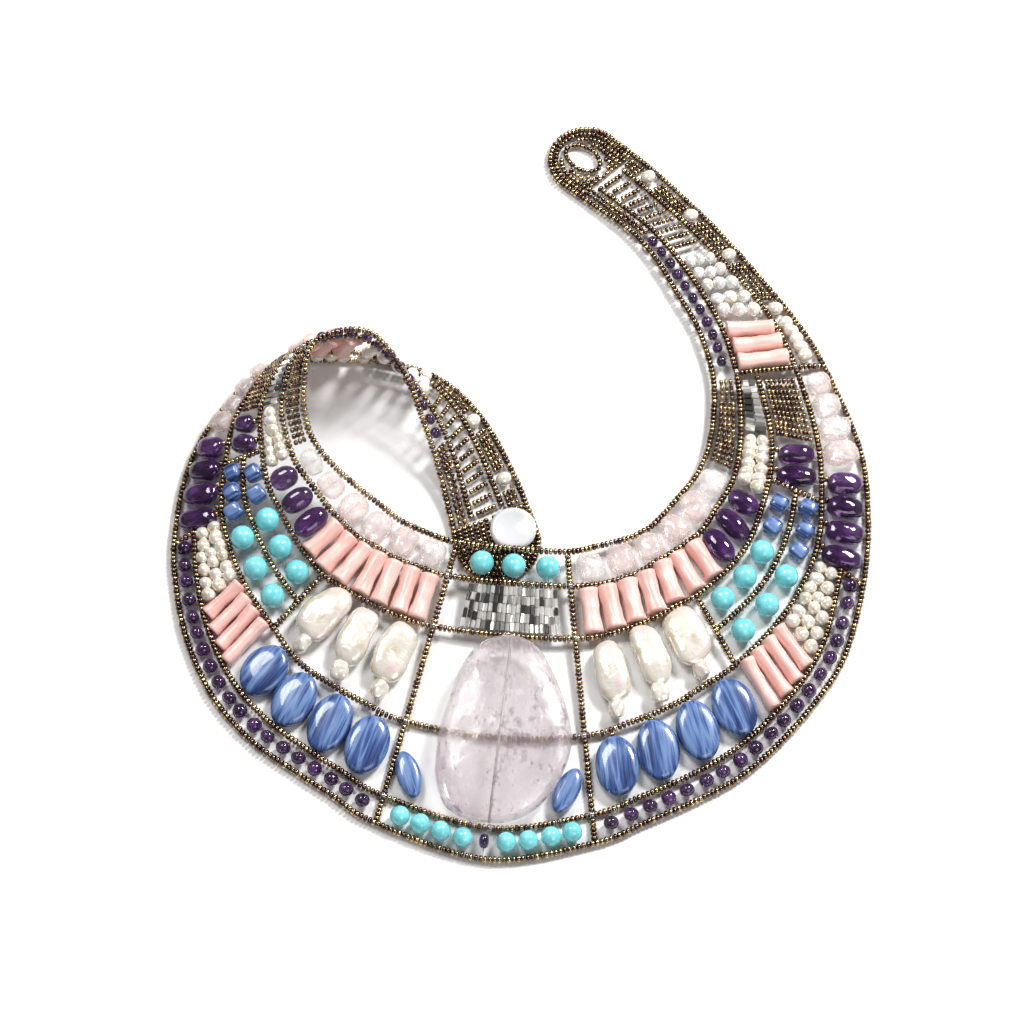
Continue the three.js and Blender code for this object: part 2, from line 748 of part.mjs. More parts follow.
// The woven end of an arm: the round tip with its button hole, the two legs on either side
// of the ladder, and the ladder itself
function buildEndBand(name, side) {
  const width = onRib(side * lastSection, 0).distanceTo(onRib(side * lastSection, 1));
  const trim = seat / width;
  const reach = 1 - 3.2 * trim;
  const tip = new THREE.Shape();
  tip.moveTo(bandAt, trim);
  for (let i = 0; i <= tipSteps; i += 1) {
    const angle = (Math.PI * i) / tipSteps;
    tip.lineTo(lastSection + reach * Math.sin(angle), (1 - reach * Math.cos(angle)) / 2);
  }
  tip.lineTo(bandAt, 1 - trim);
  tip.closePath();
  if (side > 0) {
    const hole = new THREE.Path();
    hole.absellipse(holeAt, 0.5, holeLength / width, holeWidth / 2 / width, 0, 2 * Math.PI, true);
    tip.holes.push(hole);
  }
  const ladder = new THREE.Shape();
  const low = (at) => strandShare(at, 1) + 1.5 * trim;
  const high = (at) => strandShare(at, 3) - 1.5 * trim;
  const pitch = (bandAt - ladderAt) / ladderGaps;
  const stops = Array.from({ length: ladderGaps + 2 }, (_, i) => ladderAt + i * pitch);
  ladder.moveTo(ladderAt, low(ladderAt));
  stops.slice(1).forEach((at) => ladder.lineTo(at, low(at)));
  stops.reverse().forEach((at) => ladder.lineTo(at, high(at)));
  ladder.closePath();
  const rail = railWidth / width;
  for (let i = 0; i < ladderGaps; i += 1) {
    const from = ladderAt + (i + 0.5) * pitch;
    const to = from + pitch * 0.42;
    const gap = new THREE.Path();
    gap.moveTo(from, low(from) + rail);
    gap.lineTo(from, high(from) - rail);
    gap.lineTo(to, high(to) - rail);
    gap.lineTo(to, low(to) + rail);
    gap.closePath();
    ladder.holes.push(gap);
  }
  const locate = (x, y) => ({ at: side * x, share: y });
  const flat = [tip, ladder].map((shape) => {
    const geometry = new THREE.ExtrudeGeometry(shape, {
      depth: 1, bevelEnabled: false, curveSegments: 8,
    });
    return bendStrip(geometry.translate(0, 0, -0.5), locate, bandThickness, side < 0);
  });
  const legs = [
    wovenStrip(side, runs.innerLeg, 0, 1, bandThickness, 3),
    wovenStrip(side, runs.outerLeg, 3, 5, bandThickness, 8),
  ];
  add(name, "weave", fuse([...flat, ...legs]));
}

function buildBib() {
  buildSlab();
  const lowest = edgeHeight + bandThickness / 2 + clearance;
  const balls = centreTurquoiseAt.map((at) => seatBead(roundBead(turquoiseDiameter), at,
    (strandShare(at, 0) + strandShare(at, 1)) / 2, { thickness: turquoiseDiameter, lowest }));
  strungField("centre_turquoise", "turquoise", balls);
  buildTubeField("centre_tubes", 1, runs.centreField, 10);
  for (const [side, end] of [[1, "right"], [-1, "left"]]) {
    const at = side * smallKyaniteAt;
    const turn = -side * smallKyaniteTurn;
    const options = { thickness: kyaniteThickness * 0.8, flatten: 0.6, turn };
    const bead = ovalBead(smallKyaniteLength, smallKyaniteWidth);
    add(`small_kyanite_${end}`, "kyanite", seatBead(bead, at, smallKyaniteAt, options));
    rowOfStones(`kyanite_${end}`, "kyanite", side, [3, 4], runs.kyanite, 4, (spot, middle, length) => {
      const flat = { thickness: kyaniteThickness, flatten: kyaniteThickness / kyaniteWidth };
      return seatBead(ovalBead(Math.min(kyaniteLength, length), kyaniteWidth), spot, middle, flat);
    }, false);
  }
  const edgeStones = Array(edgeStoneCount).fill(smallTurquoiseDiameter);
  edgeStones[(edgeStoneCount - 1) / 2] *= middleStoneShare;
  bentString("edge_turquoise", "turquoise", runs.centreField, 4.5, edgeStones);
}

function buildButton() {
  const radius = buttonDiameter / 2;
  const half = buttonThickness / 2;
  const button = turned([
    [0, -half], [0.86 * radius, -half], [radius, -0.3 * half], [radius, 0.3 * half],
    [0.88 * radius, half], [0, half],
  ], 16);
  button.rotateX(Math.PI / 2);
  const centre = onRib(buttonAt, buttonShare);
  centre.z = edgeHeight + bandThickness / 2 + clearance + buttonLift + half;
  button.translate(centre.x, centre.y, centre.z);
  add("button", "button", button);
}

buildStrands();
buildBib();
buildSide(1, "right");
buildSide(-1, "left");
buildButton();

// The origin stands under the middle of the whole piece.
const box = new THREE.Box3().setFromObject(collar);
const middle = box.getCenter(new THREE.Vector3());
collar.position.set(-middle.x, -middle.y, -box.min.z);
const group = new THREE.Group();
group.add(collar);

export default group;
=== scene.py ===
import math
import random

import bmesh
import bpy
from bpy.props import FloatProperty, FloatVectorProperty, IntProperty, PointerProperty
from mathutils import Matrix, Vector, noise


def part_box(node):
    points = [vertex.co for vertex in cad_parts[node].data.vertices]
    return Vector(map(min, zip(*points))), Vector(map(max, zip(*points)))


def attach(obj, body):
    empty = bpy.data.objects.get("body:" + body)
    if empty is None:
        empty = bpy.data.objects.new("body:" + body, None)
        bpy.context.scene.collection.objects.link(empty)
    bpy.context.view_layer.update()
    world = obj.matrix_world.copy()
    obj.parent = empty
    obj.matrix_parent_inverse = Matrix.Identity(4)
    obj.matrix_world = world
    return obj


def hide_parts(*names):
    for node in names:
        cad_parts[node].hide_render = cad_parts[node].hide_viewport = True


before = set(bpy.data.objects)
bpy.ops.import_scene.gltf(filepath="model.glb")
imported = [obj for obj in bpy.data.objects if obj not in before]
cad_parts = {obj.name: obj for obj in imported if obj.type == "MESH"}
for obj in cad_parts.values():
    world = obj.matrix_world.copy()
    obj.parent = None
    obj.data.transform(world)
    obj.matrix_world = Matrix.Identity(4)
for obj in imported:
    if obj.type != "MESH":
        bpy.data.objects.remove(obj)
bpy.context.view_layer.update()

bl_info = {
    "name": "Bib necklace",
    "version": (1, 0, 0),
    "blender": (4, 5, 0),
    "location": "3D View > Sidebar > Necklace",
    "description": "Dresses the solids of a beaded bib necklace with its beads and stones",
    "category": "Object",
}

MM = 0.001
# Sizes of the collar in mm, the same as in the CAD
NECK_HALF_WIDTH = 66
NECK_LENGTH = 133
BIB_DEPTH = 100
BIB_RISE = NECK_LENGTH / 9
LOOP_HEIGHT = 30
CROWN_HEIGHT = 1.2
EDGE_HEIGHT = 1.1
LAST = 17  # the outermost section
BUTTON_AT, BUTTON_SHARE = -16.85, 0.72
HOLE_AT, HOLE_LENGTH, HOLE_WIDTH = 17.08, 12.4, 6.6
BAND_THICKNESS = 1.9
BAND_AT = 16.4
BAND_TOP = EDGE_HEIGHT + BAND_THICKNESS / 2
CLEARANCE = 0.3
BUTTON_LIFT = 0.5
BUTTON_THICKNESS, BUTTON_DIAMETER = 2.7, 14.8
SIDES = ((1, "right"), (-1, "left"))
# Sizes of the scene's stones in mm: the slab, and the longest kyanite oval or baroque pearl
SLAB_WIDTH, SLAB_LENGTH = 42.0, 61.0
LONGEST = 19.5

# Sections of the collar from one end to the other: neckline x and y, the reach to the edge
# strand in x and y, the rise of the neckline and the bow, all as shares of the sizes above.
SECTIONS = [
    (-0.262, 0.004, 0.253, 0.065, 0.04, 0), (-0.306, 0.11, 0.207, 0.128, 0.06, 0),
    (-0.364, 0.22, 0.145, 0.178, 0.2, 0.5), (-0.432, 0.311, 0.06, 0.196, 0.44, 1),
    (-0.53, 0.411, -0.04, 0.128, 0.74, 1), (-0.7, 0.487, -0.106, 0.04, 0.97, 1),
    (-0.947, 0.455, -0.16, 0.062, 0.99, 1), (-1.0, 0.341, -0.293, 0.033, 0.83, 1),
    (-0.979, 0.265, -0.396, -0.06, 0.67, 1), (-0.927, 0.223, -0.463, -0.251, 0.53, 1),
    (-0.842, 0.183, -0.504, -0.369, 0.4, 1), (-0.732, 0.144, -0.534, -0.493, 0.27, 1),
    (-0.612, 0.102, -0.527, -0.62, 0.18, 1), (-0.561, 0.083, -0.44, -0.735, 0.15, 1),
    (-0.502, 0.065, -0.344, -0.81, 0.14, 1), (-0.385, 0.037, -0.302, -0.852, 0.15, 0.4),
    (-0.264, 0.012, -0.242, -0.91, 0.2, -1.6), (0.015, -0.007, -0.086, -1.0, 0.227, -2),
    (0.264, -0.012, 0.077, -0.942, 0.2, -1.6), (0.41, 0.01, 0.138, -0.906, 0.12, 0.4),
    (0.56, 0.034, 0.193, -0.868, 0.09, 1), (0.634, 0.052, 0.277, -0.819, 0.09, 1),
    (0.69, 0.073, 0.365, -0.739, 0.09, 1), (0.794, 0.133, 0.432, -0.662, 0.09, 1),
    (0.874, 0.183, 0.467, -0.583, 0.09, 1), (0.92, 0.223, 0.506, -0.388, 0.09, 1),
    (0.958, 0.274, 0.505, -0.22, 0.09, 1), (0.986, 0.349, 0.469, -0.087, 0.09, 1),
    (0.992, 0.466, 0.365, 0.046, 0.09, 1), (0.926, 0.596, 0.334, 0.021, 0.09, 1),
    (0.83, 0.692, 0.287, 0.055, 0.09, 1), (0.72, 0.796, 0.239, 0.079, 0.09, 1),
    (0.597, 0.876, 0.227, 0.084, 0.08, 0.5), (0.427, 0.948, 0.207, 0.132, 0.05, 0),
    (0.272, 1.01, 0.147, 0.2, 0.04, 0),
]
SECTION_COLUMNS = list(zip(*SECTIONS))

# Where the second to fifth strand cross each section, from the middle outwards
RIGHT_STRANDS = [
    (0.11, 0.28, 0.61, 0.9), (0.12, 0.3, 0.635, 0.905), (0.14, 0.325, 0.65, 0.91),
    (0.14, 0.325, 0.65, 0.91), (0.13, 0.32, 0.64, 0.905), (0.14, 0.34, 0.655, 0.905),
    (0.17, 0.365, 0.67, 0.9), (0.16, 0.37, 0.68, 0.88), (0.18, 0.375, 0.715, 0.865),
    (0.19, 0.39, 0.71, 0.92), (0.19, 0.39, 0.71, 0.95), (0.21, 0.38, 0.74, 0.95),
    (0.23, 0.4, 0.76, 0.95), (0.26, 0.4, 0.77, 0.95), (0.25, 0.4, 0.71, 0.95),
    (0.25, 0.4, 0.7, 0.95), (0.27, 0.4, 0.71, 0.95), (0.28, 0.4, 0.72, 0.95),
]
LEFT_STRANDS = [
    (0.11, 0.28, 0.61, 0.9), (0.12, 0.3, 0.64, 0.905), (0.13, 0.325, 0.66, 0.91),
    (0.14, 0.335, 0.665, 0.91), (0.14, 0.34, 0.665, 0.905), (0.16, 0.365, 0.65, 0.9),
    (0.16, 0.365, 0.66, 0.89), (0.15, 0.355, 0.667, 0.875), (0.16, 0.36, 0.67, 0.86),
    (0.18, 0.38, 0.67, 0.92), (0.24, 0.46, 0.73, 0.95), (0.24, 0.44, 0.74, 0.95),
    (0.25, 0.42, 0.75, 0.95), (0.31, 0.4, 0.76, 0.95), (0.33, 0.4, 0.76, 0.95),
    (0.31, 0.4, 0.71, 0.95), (0.27, 0.4, 0.69, 0.95), (0.28, 0.4, 0.7, 0.95),
]
RIGHT_COLUMNS = list(zip(*RIGHT_STRANDS))
LEFT_COLUMNS = list(zip(*LEFT_STRANDS))


def spline(values, index):
    i = min(max(math.floor(index), 0), len(values) - 2)
    t = index - i
    a, b, c, d = (values[min(max(k, 0), len(values) - 1)] for k in (i - 1, i, i + 1, i + 2))
    bend = (2 * a - 5 * b + 4 * c - d) * t + (3 * b - a - 3 * c + d) * t * t
    return b + 0.5 * t * (c - a + bend)


def on_rib(at, share):
    """A point of the collar in mm: at counts the sections, share runs from neckline to edge."""
    index = min(max(at, -LAST), LAST) + LAST
    x, y, reach_x, reach_y, rise, crown = (spline(column, index) for column in SECTION_COLUMNS)
    neck = Vector((x * NECK_HALF_WIDTH, y * NECK_LENGTH - BIB_RISE, rise * LOOP_HEIGHT))
    edge = Vector((neck.x + reach_x * BIB_DEPTH, neck.y + reach_y * BIB_DEPTH, EDGE_HEIGHT))
    point = neck.lerp(edge, share)
    point.z += crown * CROWN_HEIGHT * 4 * share * (1 - share)
    past = abs(at) - LAST
    if past > 0:
        across = (edge - neck) * 0.5
        point += Vector((-across.y, across.x, 0)) * (math.copysign(1, at) * past)
    return point


def strand_share(at, strand):
    columns = LEFT_COLUMNS if at < 0 else RIGHT_COLUMNS

    def read(k):
        return 0 if k <= 0 else 1 if k >= 5 else spline(columns[k - 1], abs(at))

    low = math.floor(strand)
    return read(low) + (read(low + 1) - read(low)) * (strand - low)


def on_strand(at, strand):
    return on_rib(at, strand_share(at, strand))


def between(at, inner, outer):
    return (on_strand(at, outer) - on_strand(at, inner)).length


def halfway(at, inner, outer):
    return (strand_share(at, inner) + strand_share(at, outer)) / 2


def rib_length(at):
    return (on_rib(at, 1) - on_rib(at, 0)).length


def directions(at, share):
    along = (on_rib(at + 0.02, share) - on_rib(at - 0.02, share)).normalized()
    across = (on_rib(at, share + 0.02) - on_rib(at, share - 0.02)).normalized()
    return along, across, across.cross(along).normalized()


def run_length(start, end, strand, parts=12):
    stops = [on_strand(start + (end - start) * i / parts, strand) for i in range(parts + 1)]
    return sum((b - a).length for a, b in zip(stops, stops[1:]))


def places(start, end, count, strand):
    """The sections of a number of beads along a row, evenly by length"""
    fine = 200
    whole = run_length(start, end, strand, fine)
    found, passed, wanted = [], 0, 0.5
    for i in range(fine):
        a = start + (end - start) * i / fine
        b = start + (end - start) * (i + 1) / fine
        passed += (on_strand(b, strand) - on_strand(a, strand)).length
        if len(found) < count and passed >= wanted / count * whole:
            found.append((a + b) / 2)
            wanted += 1
    return found


def seat(at, share, thickness, turn=0.0, lowest=0.0):
    """The place of a bead whose length lies across the collar, as a matrix in mm"""
    _, across, face = directions(at, share)
    axis = Matrix.Rotation(turn, 3, face) @ across
    side = face.cross(axis)
    centre = on_rib(at, share)
    centre.z = max(centre.z, thickness / 2 * abs(face.z) + lowest)
    place = Matrix((side, axis, side.cross(axis))).transposed().to_4x4()
    place.translation = centre
    return place


def aim(position, axis, roll=0.0):
    """The place of a bead whose hole runs along axis"""
    turned = axis.normalized().to_track_quat("Y", "Z").to_matrix().to_4x4()
    place = turned @ Matrix.Rotation(roll, 4, "Y")
    place.translation = position
    return place


def button_offset():
    low, high = (Vector(corner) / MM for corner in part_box("button"))
    middle = (low + high) / 2
    ground = on_rib(BUTTON_AT, BUTTON_SHARE)
    ground.z = BAND_TOP + CLEARANCE + BUTTON_LIFT + BUTTON_THICKNESS / 2
    return middle - ground


OFFSET = button_offset()


# Shapes of single beads and stones, in mm, their drilled axis along Y


class Shape:
    """The vertices and faces of one bead, taken from a bmesh"""

    def __init__(self, mesh, smooth=True):
        bmesh.ops.recalc_face_normals(mesh, faces=mesh.faces)
        mesh.verts.index_update()
        self.points = [vertex.co.copy() for vertex in mesh.verts]
        self.faces = [[vertex.index for vertex in face.verts] for face in mesh.faces]
        self.smooth = smooth
        mesh.free()


def turned(profile, sides):
    """A profile of (radius, height) spun round the drilled axis"""
    mesh = bmesh.new()
    points = [mesh.verts.new((radius, height, 0)) for radius, height in profile]
    for a, b in zip(points, points[1:]):
        mesh.edges.new((a, b))
    bmesh.ops.spin(mesh, geom=mesh.verts[:] + mesh.edges[:], cent=(0, 0, 0), axis=(0, 1, 0),
                   angle=math.tau, steps=sides, use_merge=True)
    bmesh.ops.remove_doubles(mesh, verts=mesh.verts, dist=1e-4)
    return mesh


def lathed(profile, diameter, length, sides=6, smooth=True):
    """A bead turned from a profile in shares of its radius and of half its length"""
    radius, half = diameter / 2, length / 2
    return Shape(turned([(x * radius, y * half) for x, y in profile], sides), smooth)


def mirrored(profile):
    return profile + [(x, -y) for x, y in reversed(profile)]


def seed_bead(diameter, length):
    return lathed(mirrored([(0, 0.6), (0.38, 0.94), (0.84, 0.72), (1, 0.26)]), diameter, length, 8)


def pebble(length, width, thickness, square, lumps, size, seed, detail=4):
    """A rounded stone with lumps of a size. square is 2 for an oval, 5 for a near block."""
    mesh = bmesh.new()
    bmesh.ops.create_icosphere(mesh, subdivisions=detail, radius=1)
    where = Vector((seed * 7.3, seed * 3.1, seed * 5.7))
    for vertex in mesh.verts:
        x, y, z = (abs(value) for value in vertex.co)
        reach = (x ** square + y ** square + z ** square) ** (-1 / square)
        point = vertex.co * reach
        point = Vector((point.x * width / 2, point.y * length / 2, point.z * thickness / 2))
        bump = 1 + lumps * noise.noise(point / size + where)
        vertex.co = point * bump
    return Shape(mesh)


def cabochon(length, width, thickness, seed):
    """A flat oval stone with a soft edge"""
    square = 3.4
    mesh = bmesh.new()
    bmesh.ops.create_uvsphere(mesh, u_segments=40, v_segments=20, radius=1)
    for vertex in mesh.verts:
        flat = math.hypot(vertex.co.x, vertex.co.y)
        reach = (flat ** square + abs(vertex.co.z) ** square) ** (-1 / square)
        point = vertex.co * reach
        wave = 1 + 0.035 * noise.noise(Vector((point.x * 1.3, point.y * 1.3, seed * 4.1)))
        vertex.co = Vector((point.x * width / 2 * wave, point.y * length / 2 * wave,
                            point.z * thickness / 2))
    return Shape(mesh)


def bone(length, width, seed):
    """A coral bead, narrower at its waist and cut off square at both ends"""
    half, radius = length / 2, width / 2
    profile = [(0, half), (radius * 0.86, half), (radius * 0.97, 0.95 * half)]
    for i in range(9):
        y = half * (0.84 - 1.68 * i / 8)
        profile.append((radius * (0.8 + 0.19 * (abs(y) / half) ** 2.2), y))
    profile += [(radius * 0.97, -0.95 * half), (radius * 0.86, -half), (0, -half)]
    mesh = turned(profile, 20)
    where = Vector((seed * 2.3, seed * 9.1, 0))
    for vertex in mesh.verts:
        push = noise.noise(vertex.co * 0.28 + where) * 0.16
        vertex.co.x *= 1 + push
        vertex.co.z *= 1 + push
    return Shape(mesh)


def cut_tube(diameter, length):
    profile = mirrored([(0.35, 0.8), (0.45, 1), (0.93, 1), (1, 0.94)])
    return lathed(profile + profile[:1], diameter, length, smooth=False)


def rod(diameter, length):
    return lathed(mirrored([(0, 1), (1, 1)]), diameter, length)


class Pile:
    """Beads gathered into one mesh, each with a tone of its own and its own coordinates"""

    def __init__(self, seed):
        self.points, self.faces, self.smooth, self.tones, self.grain = [], [], [], [], []
        self.dice = random.Random(seed)

    def put(self, shape, place, tone=None):
        start = len(self.points)
        tone = self.dice.random() if tone is None else tone
        for point in shape.points:
            self.points.append((place @ point + OFFSET) * MM)
            self.grain.extend(point)
            self.tones.append(tone)
        self.faces.extend([start + index for index in face] for face in shape.faces)
        self.smooth.extend([shape.smooth] * len(shape.faces))

    def thread(self, start, end, diameter=None):
        """A length of stringing thread from one point to another"""
        way = end - start
        thick = diameter or in_mm(sizes().thread)
        self.put(rod(thick, way.length), aim((start + end) / 2, way))

    def finish(self, name, look, slot, *nodes):
        """The piece, with the look of a colour of the panel"""
        data = bpy.data.meshes.new(name)
        data.from_pydata([tuple(point) for point in self.points], [], self.faces)
        data.polygons.foreach_set("use_smooth", self.smooth)
        data.attributes.new("tone", "FLOAT", "POINT").data.foreach_set("value", self.tones)
        data.attributes.new("grain", "FLOAT_VECTOR", "POINT").data.foreach_set("vector", self.grain)
        data.materials.append(maker().looks[look])
        data.update()
        piece = bpy.data.objects.new(name, data)
        bpy.context.scene.collection.objects.link(piece)
        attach(piece, "root")
        if nodes:
            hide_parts(*nodes)

    def dress(self, node, kind, look, slot=None):
        """The piece that takes the place of one node of the CAD"""
        self.finish(f"{node}_{kind}", look, slot or look, node)


# Materials


WHITE = (1, 1, 1)


def arithmetic(operation, turned_round=False):
    def join(self, other):
        first, second = (other, self) if turned_round else (self, other)
        node = self.finish.node("ShaderNodeMath", {"operation": operation}, {0: first, 1: second})
        return Field(self.finish, node.outputs[0])

    return join


class Field:
    """A number that varies over a surface. Arithmetic on it adds Math nodes."""

    def __init__(self, finish, socket):
        self.finish, self.socket = finish, socket

    __add__, __radd__ = arithmetic("ADD"), arithmetic("ADD", True)
    __sub__, __rsub__ = arithmetic("SUBTRACT"), arithmetic("SUBTRACT", True)
    __mul__, __truediv__ = arithmetic("MULTIPLY"), arithmetic("DIVIDE")


class Finish:
    """The material of one kind of bead"""

    def __init__(self, name, **shader):
        self.material = bpy.data.materials.new(name)
        self.material.use_nodes = True
        self.tree = self.material.node_tree
        self.shader = self.tree.nodes["Principled BSDF"]
        self.set(**shader)

    def set(self, **sockets):
        """Feed sockets of the shader, with _ for the spaces in their names"""
        for socket, value in sockets.items():
            self.feed(self.shader.inputs[socket.replace("_", " ")], value)

    def node(self, kind, settings=None, inputs=None):
        made = self.tree.nodes.new(kind)
        for key, value in (settings or {}).items():
            if key == "stops":
                ramp = made.color_ramp
                while len(ramp.elements) < len(value):
                    ramp.elements.new(0.5)
                for element, (position, colour) in zip(ramp.elements, value):
                    element.position = position
                    element.color = (*colour, 1)
            else:
                setattr(made, key, value)
        for key, value in (inputs or {}).items():
            self.feed(made.inputs[key], value)
        return made

    def feed(self, socket, value):
        source = value.socket if isinstance(value, Field) else value
        if isinstance(source, bpy.types.NodeSocket):
            self.tree.links.new(source, socket)
        elif isinstance(source, (tuple, list, Vector)) and socket.type == "RGBA":
            socket.default_value = (*source[:3], 1)
        else:
            socket.default_value = source

    def attribute(self, name):
        return self.node("ShaderNodeAttribute", {"attribute_name": name})

    def tone(self):
        return Field(self, self.attribute("tone").outputs["Fac"])

    def grain(self):
        """The bead's own coordinates in mm, as three fields"""
        own = self.attribute("grain").outputs["Vector"]
        split = self.node("ShaderNodeSeparateXYZ", None, {0: own})
        return [Field(self, output) for output in split.outputs]

    def stretched(self, scale):
        """The bead's own coordinates, shifted by its tone and scaled along each axis"""
        shift = self.node("ShaderNodeVectorMath", {"operation": "MULTIPLY_ADD"},
                          {0: self.attribute("tone").outputs["Color"], 1: (41.0, 23.0, 57.0),
                           2: self.attribute("grain").outputs["Vector"]})
        scale = scale if isinstance(scale, tuple) else (scale, scale, scale)
        return self.node("ShaderNodeVectorMath", {"operation": "MULTIPLY"},
                         {0: shift.outputs[0], 1: scale}).outputs[0]

    def noise(self, scale, detail=3.0, roughness=0.55):
        made = self.node("ShaderNodeTexNoise", None,
                         {"Vector": self.stretched(scale), "Scale": 1.0, "Detail": detail,
                          "Roughness": roughness})
        return Field(self, made.outputs["Fac"])

    def cracks(self, scale):
        made = self.node("ShaderNodeTexVoronoi", {"feature": "DISTANCE_TO_EDGE"},
                         {"Vector": self.stretched(scale), "Scale": 1.0})
        return Field(self, made.outputs["Distance"])

    def ramp(self, field, stops):
        return self.node("ShaderNodeValToRGB", {"stops": stops}, {"Fac": field}).outputs["Color"]

    def rise(self, field, low, high):
        """0 where the field is below low, 1 where it is above high"""
        return Field(self, self.ramp(field, [(low, (0, 0, 0)), (high, WHITE)]))

    def mix(self, amount, first, second):
        return self.node("ShaderNodeMix", {"data_type": "RGBA"},
                         {"Factor": amount, 6: first, 7: second}).outputs[2]

    def bump(self, field, depth, strength=0.5):
        made = self.node("ShaderNodeBump", None,
                         {"Strength": strength, "Distance": depth * MM, "Height": field})
        self.set(Normal=made.outputs["Normal"])


def scaled(colour, red, green=None, blue=None, lift=0.0):
    """A colour with its channels multiplied, by one factor or three, and lifted, at most 1"""
    factors = (red, green or red, blue or red)
    return tuple(min(value * factor + lift, 1) for value, factor in zip(colour, factors))


def bead_finish(colour):
    """Metal-coated glass seed beads, some darker and some golden, the golden ones lightened to
    stand partly as painted highlight, with painted shade at each bead's ends
    """
    finish = Finish("bronze_bead", Metallic=1.0, Coat_Weight=1.0, Coat_Roughness=0.05)
    # Tone from bead to bead: darker iris, the bead colour, then golden beads whose colour is
    # lightened to that of the glints, so partly real gold and partly painted highlight
    shades = finish.ramp(finish.tone(), [(0.0, scaled(colour, 0.7, 0.58, 0.95)), (0.3, colour),
                                         (1.0, scaled(colour, 3.6, 4.4, 4.6))])
    patches = finish.noise(0.9, 2.0)
    _, along, _ = finish.grain()
    # Painted shade: each bead darkens towards both ends, where it meets the next bead on the strand
    ends = finish.rise(along * along, 0.08, 0.42)
    worn = finish.mix((patches - 0.35) * 0.8, shades, scaled(colour, 0.36))
    finish.set(Base_Color=finish.mix(ends, worn, scaled(colour, 0.2)),
               Roughness=0.06 + patches * 0.2)
    finish.bump(finish.noise(2.2, 2.0), 0.05, 0.4)
    return finish.material


def link_finish(colour):
    """Silver-lined clear beads where the strands cross"""
    finish = Finish("clear_bead", Metallic=0.85, Coat_Weight=1.0, Coat_Roughness=0.04)
    cloud = finish.noise(1.4, 2.0)
    finish.set(Base_Color=finish.ramp(cloud, [(0.36, scaled(colour, 0.22)), (0.6, colour)]),
               Roughness=0.05 + cloud * 0.16)
    return finish.material


def turquoise_finish(colour):
    finish = Finish("turquoise", Coat_Weight=0.7, Coat_Roughness=0.08, Subsurface_Weight=0.08,
                    Subsurface_Radius=(0.001, 0.0012, 0.0012))
    cloud = finish.noise(0.32, 4.0, 0.6)
    light = scaled(colour, 1.22, lift=0.02)
    body = finish.ramp(cloud, [(0.32, scaled(colour, 0.72, 0.86, 0.85)), (0.5, colour),
                               (0.68, light)])
    finish.set(Base_Color=finish.mix(finish.tone() * 0.25, body, light),
               Roughness=0.2 + cloud * 0.16)
    finish.bump(finish.noise(1.6), 0.03, 0.3)
    return finish.material


def coral_finish(colour):
    finish = Finish("pink_coral", Coat_Weight=0.45, Coat_Roughness=0.15, Subsurface_Weight=0.2,
                    Subsurface_Radius=(0.003, 0.0015, 0.0012))
    lines = finish.noise((0.55, 0.07, 0.55))
    cloud = finish.noise((0.16, 0.1, 0.16), 2.0)
    pale = scaled(colour, 1.12, 1.42, 1.45)
    streaks = finish.ramp(lines, [(0.3, scaled(colour, 0.92, 0.74, 0.7)), (0.5, colour),
                                  (0.72, pale)])
    shade = finish.mix(finish.tone() * 0.6, streaks, pale)
    finish.set(Base_Color=finish.mix(cloud * 0.35, shade, colour), Roughness=0.26 + lines * 0.2)
    finish.bump(finish.noise((0.9, 0.25, 0.9), 2.0), 0.04, 0.3)
    return finish.material


def amethyst_finish(colour):
    finish = Finish("amethyst", Transmission_Weight=0.36, IOR=1.54, Coat_Weight=0.8,
                    Coat_Roughness=0.03)
    veils = finish.noise((0.35, 0.22, 0.35), 4.0, 0.6)
    pale = (colour[0] * 3.0 + 0.03, colour[1] * 4 + 0.02, colour[2] * 2.6 + 0.03)
    body = finish.ramp(veils, [(0.4, scaled(colour, 0.26)), (0.54, colour), (0.72, pale)])
    finish.set(Base_Color=finish.mix(finish.tone() * 0.22, body, pale),
               Alpha=0.92 - veils * 0.2, Roughness=0.04 + veils * 0.08)
    finish.bump(finish.noise(0.5, 1.0), 0.12, 0.25)
    return finish.material


def quartz_finish(colour):
    finish = Finish("rose_quartz", Transmission_Weight=0.4, IOR=1.5, Coat_Weight=1.0,
                    Coat_Roughness=0.05)
    veils = finish.noise((0.4, 0.25, 0.4), 4.0, 0.62)
    cracks = finish.cracks(0.35)
    body = finish.ramp(veils, [(0.35, colour), (0.62, scaled(colour, 1.18, lift=0.06))])
    tinted = finish.mix(finish.tone() * 0.7, body, scaled(colour, 1, 0.86, 0.84))
    finish.set(Base_Color=finish.mix((1 - cracks * 9) * 0.3, tinted, WHITE),
               Alpha=0.36 + veils * 0.35, Roughness=0.08 + veils * 0.14)
    finish.bump(finish.noise(0.5, 2.0), 0.2, 0.3)
    return finish.material


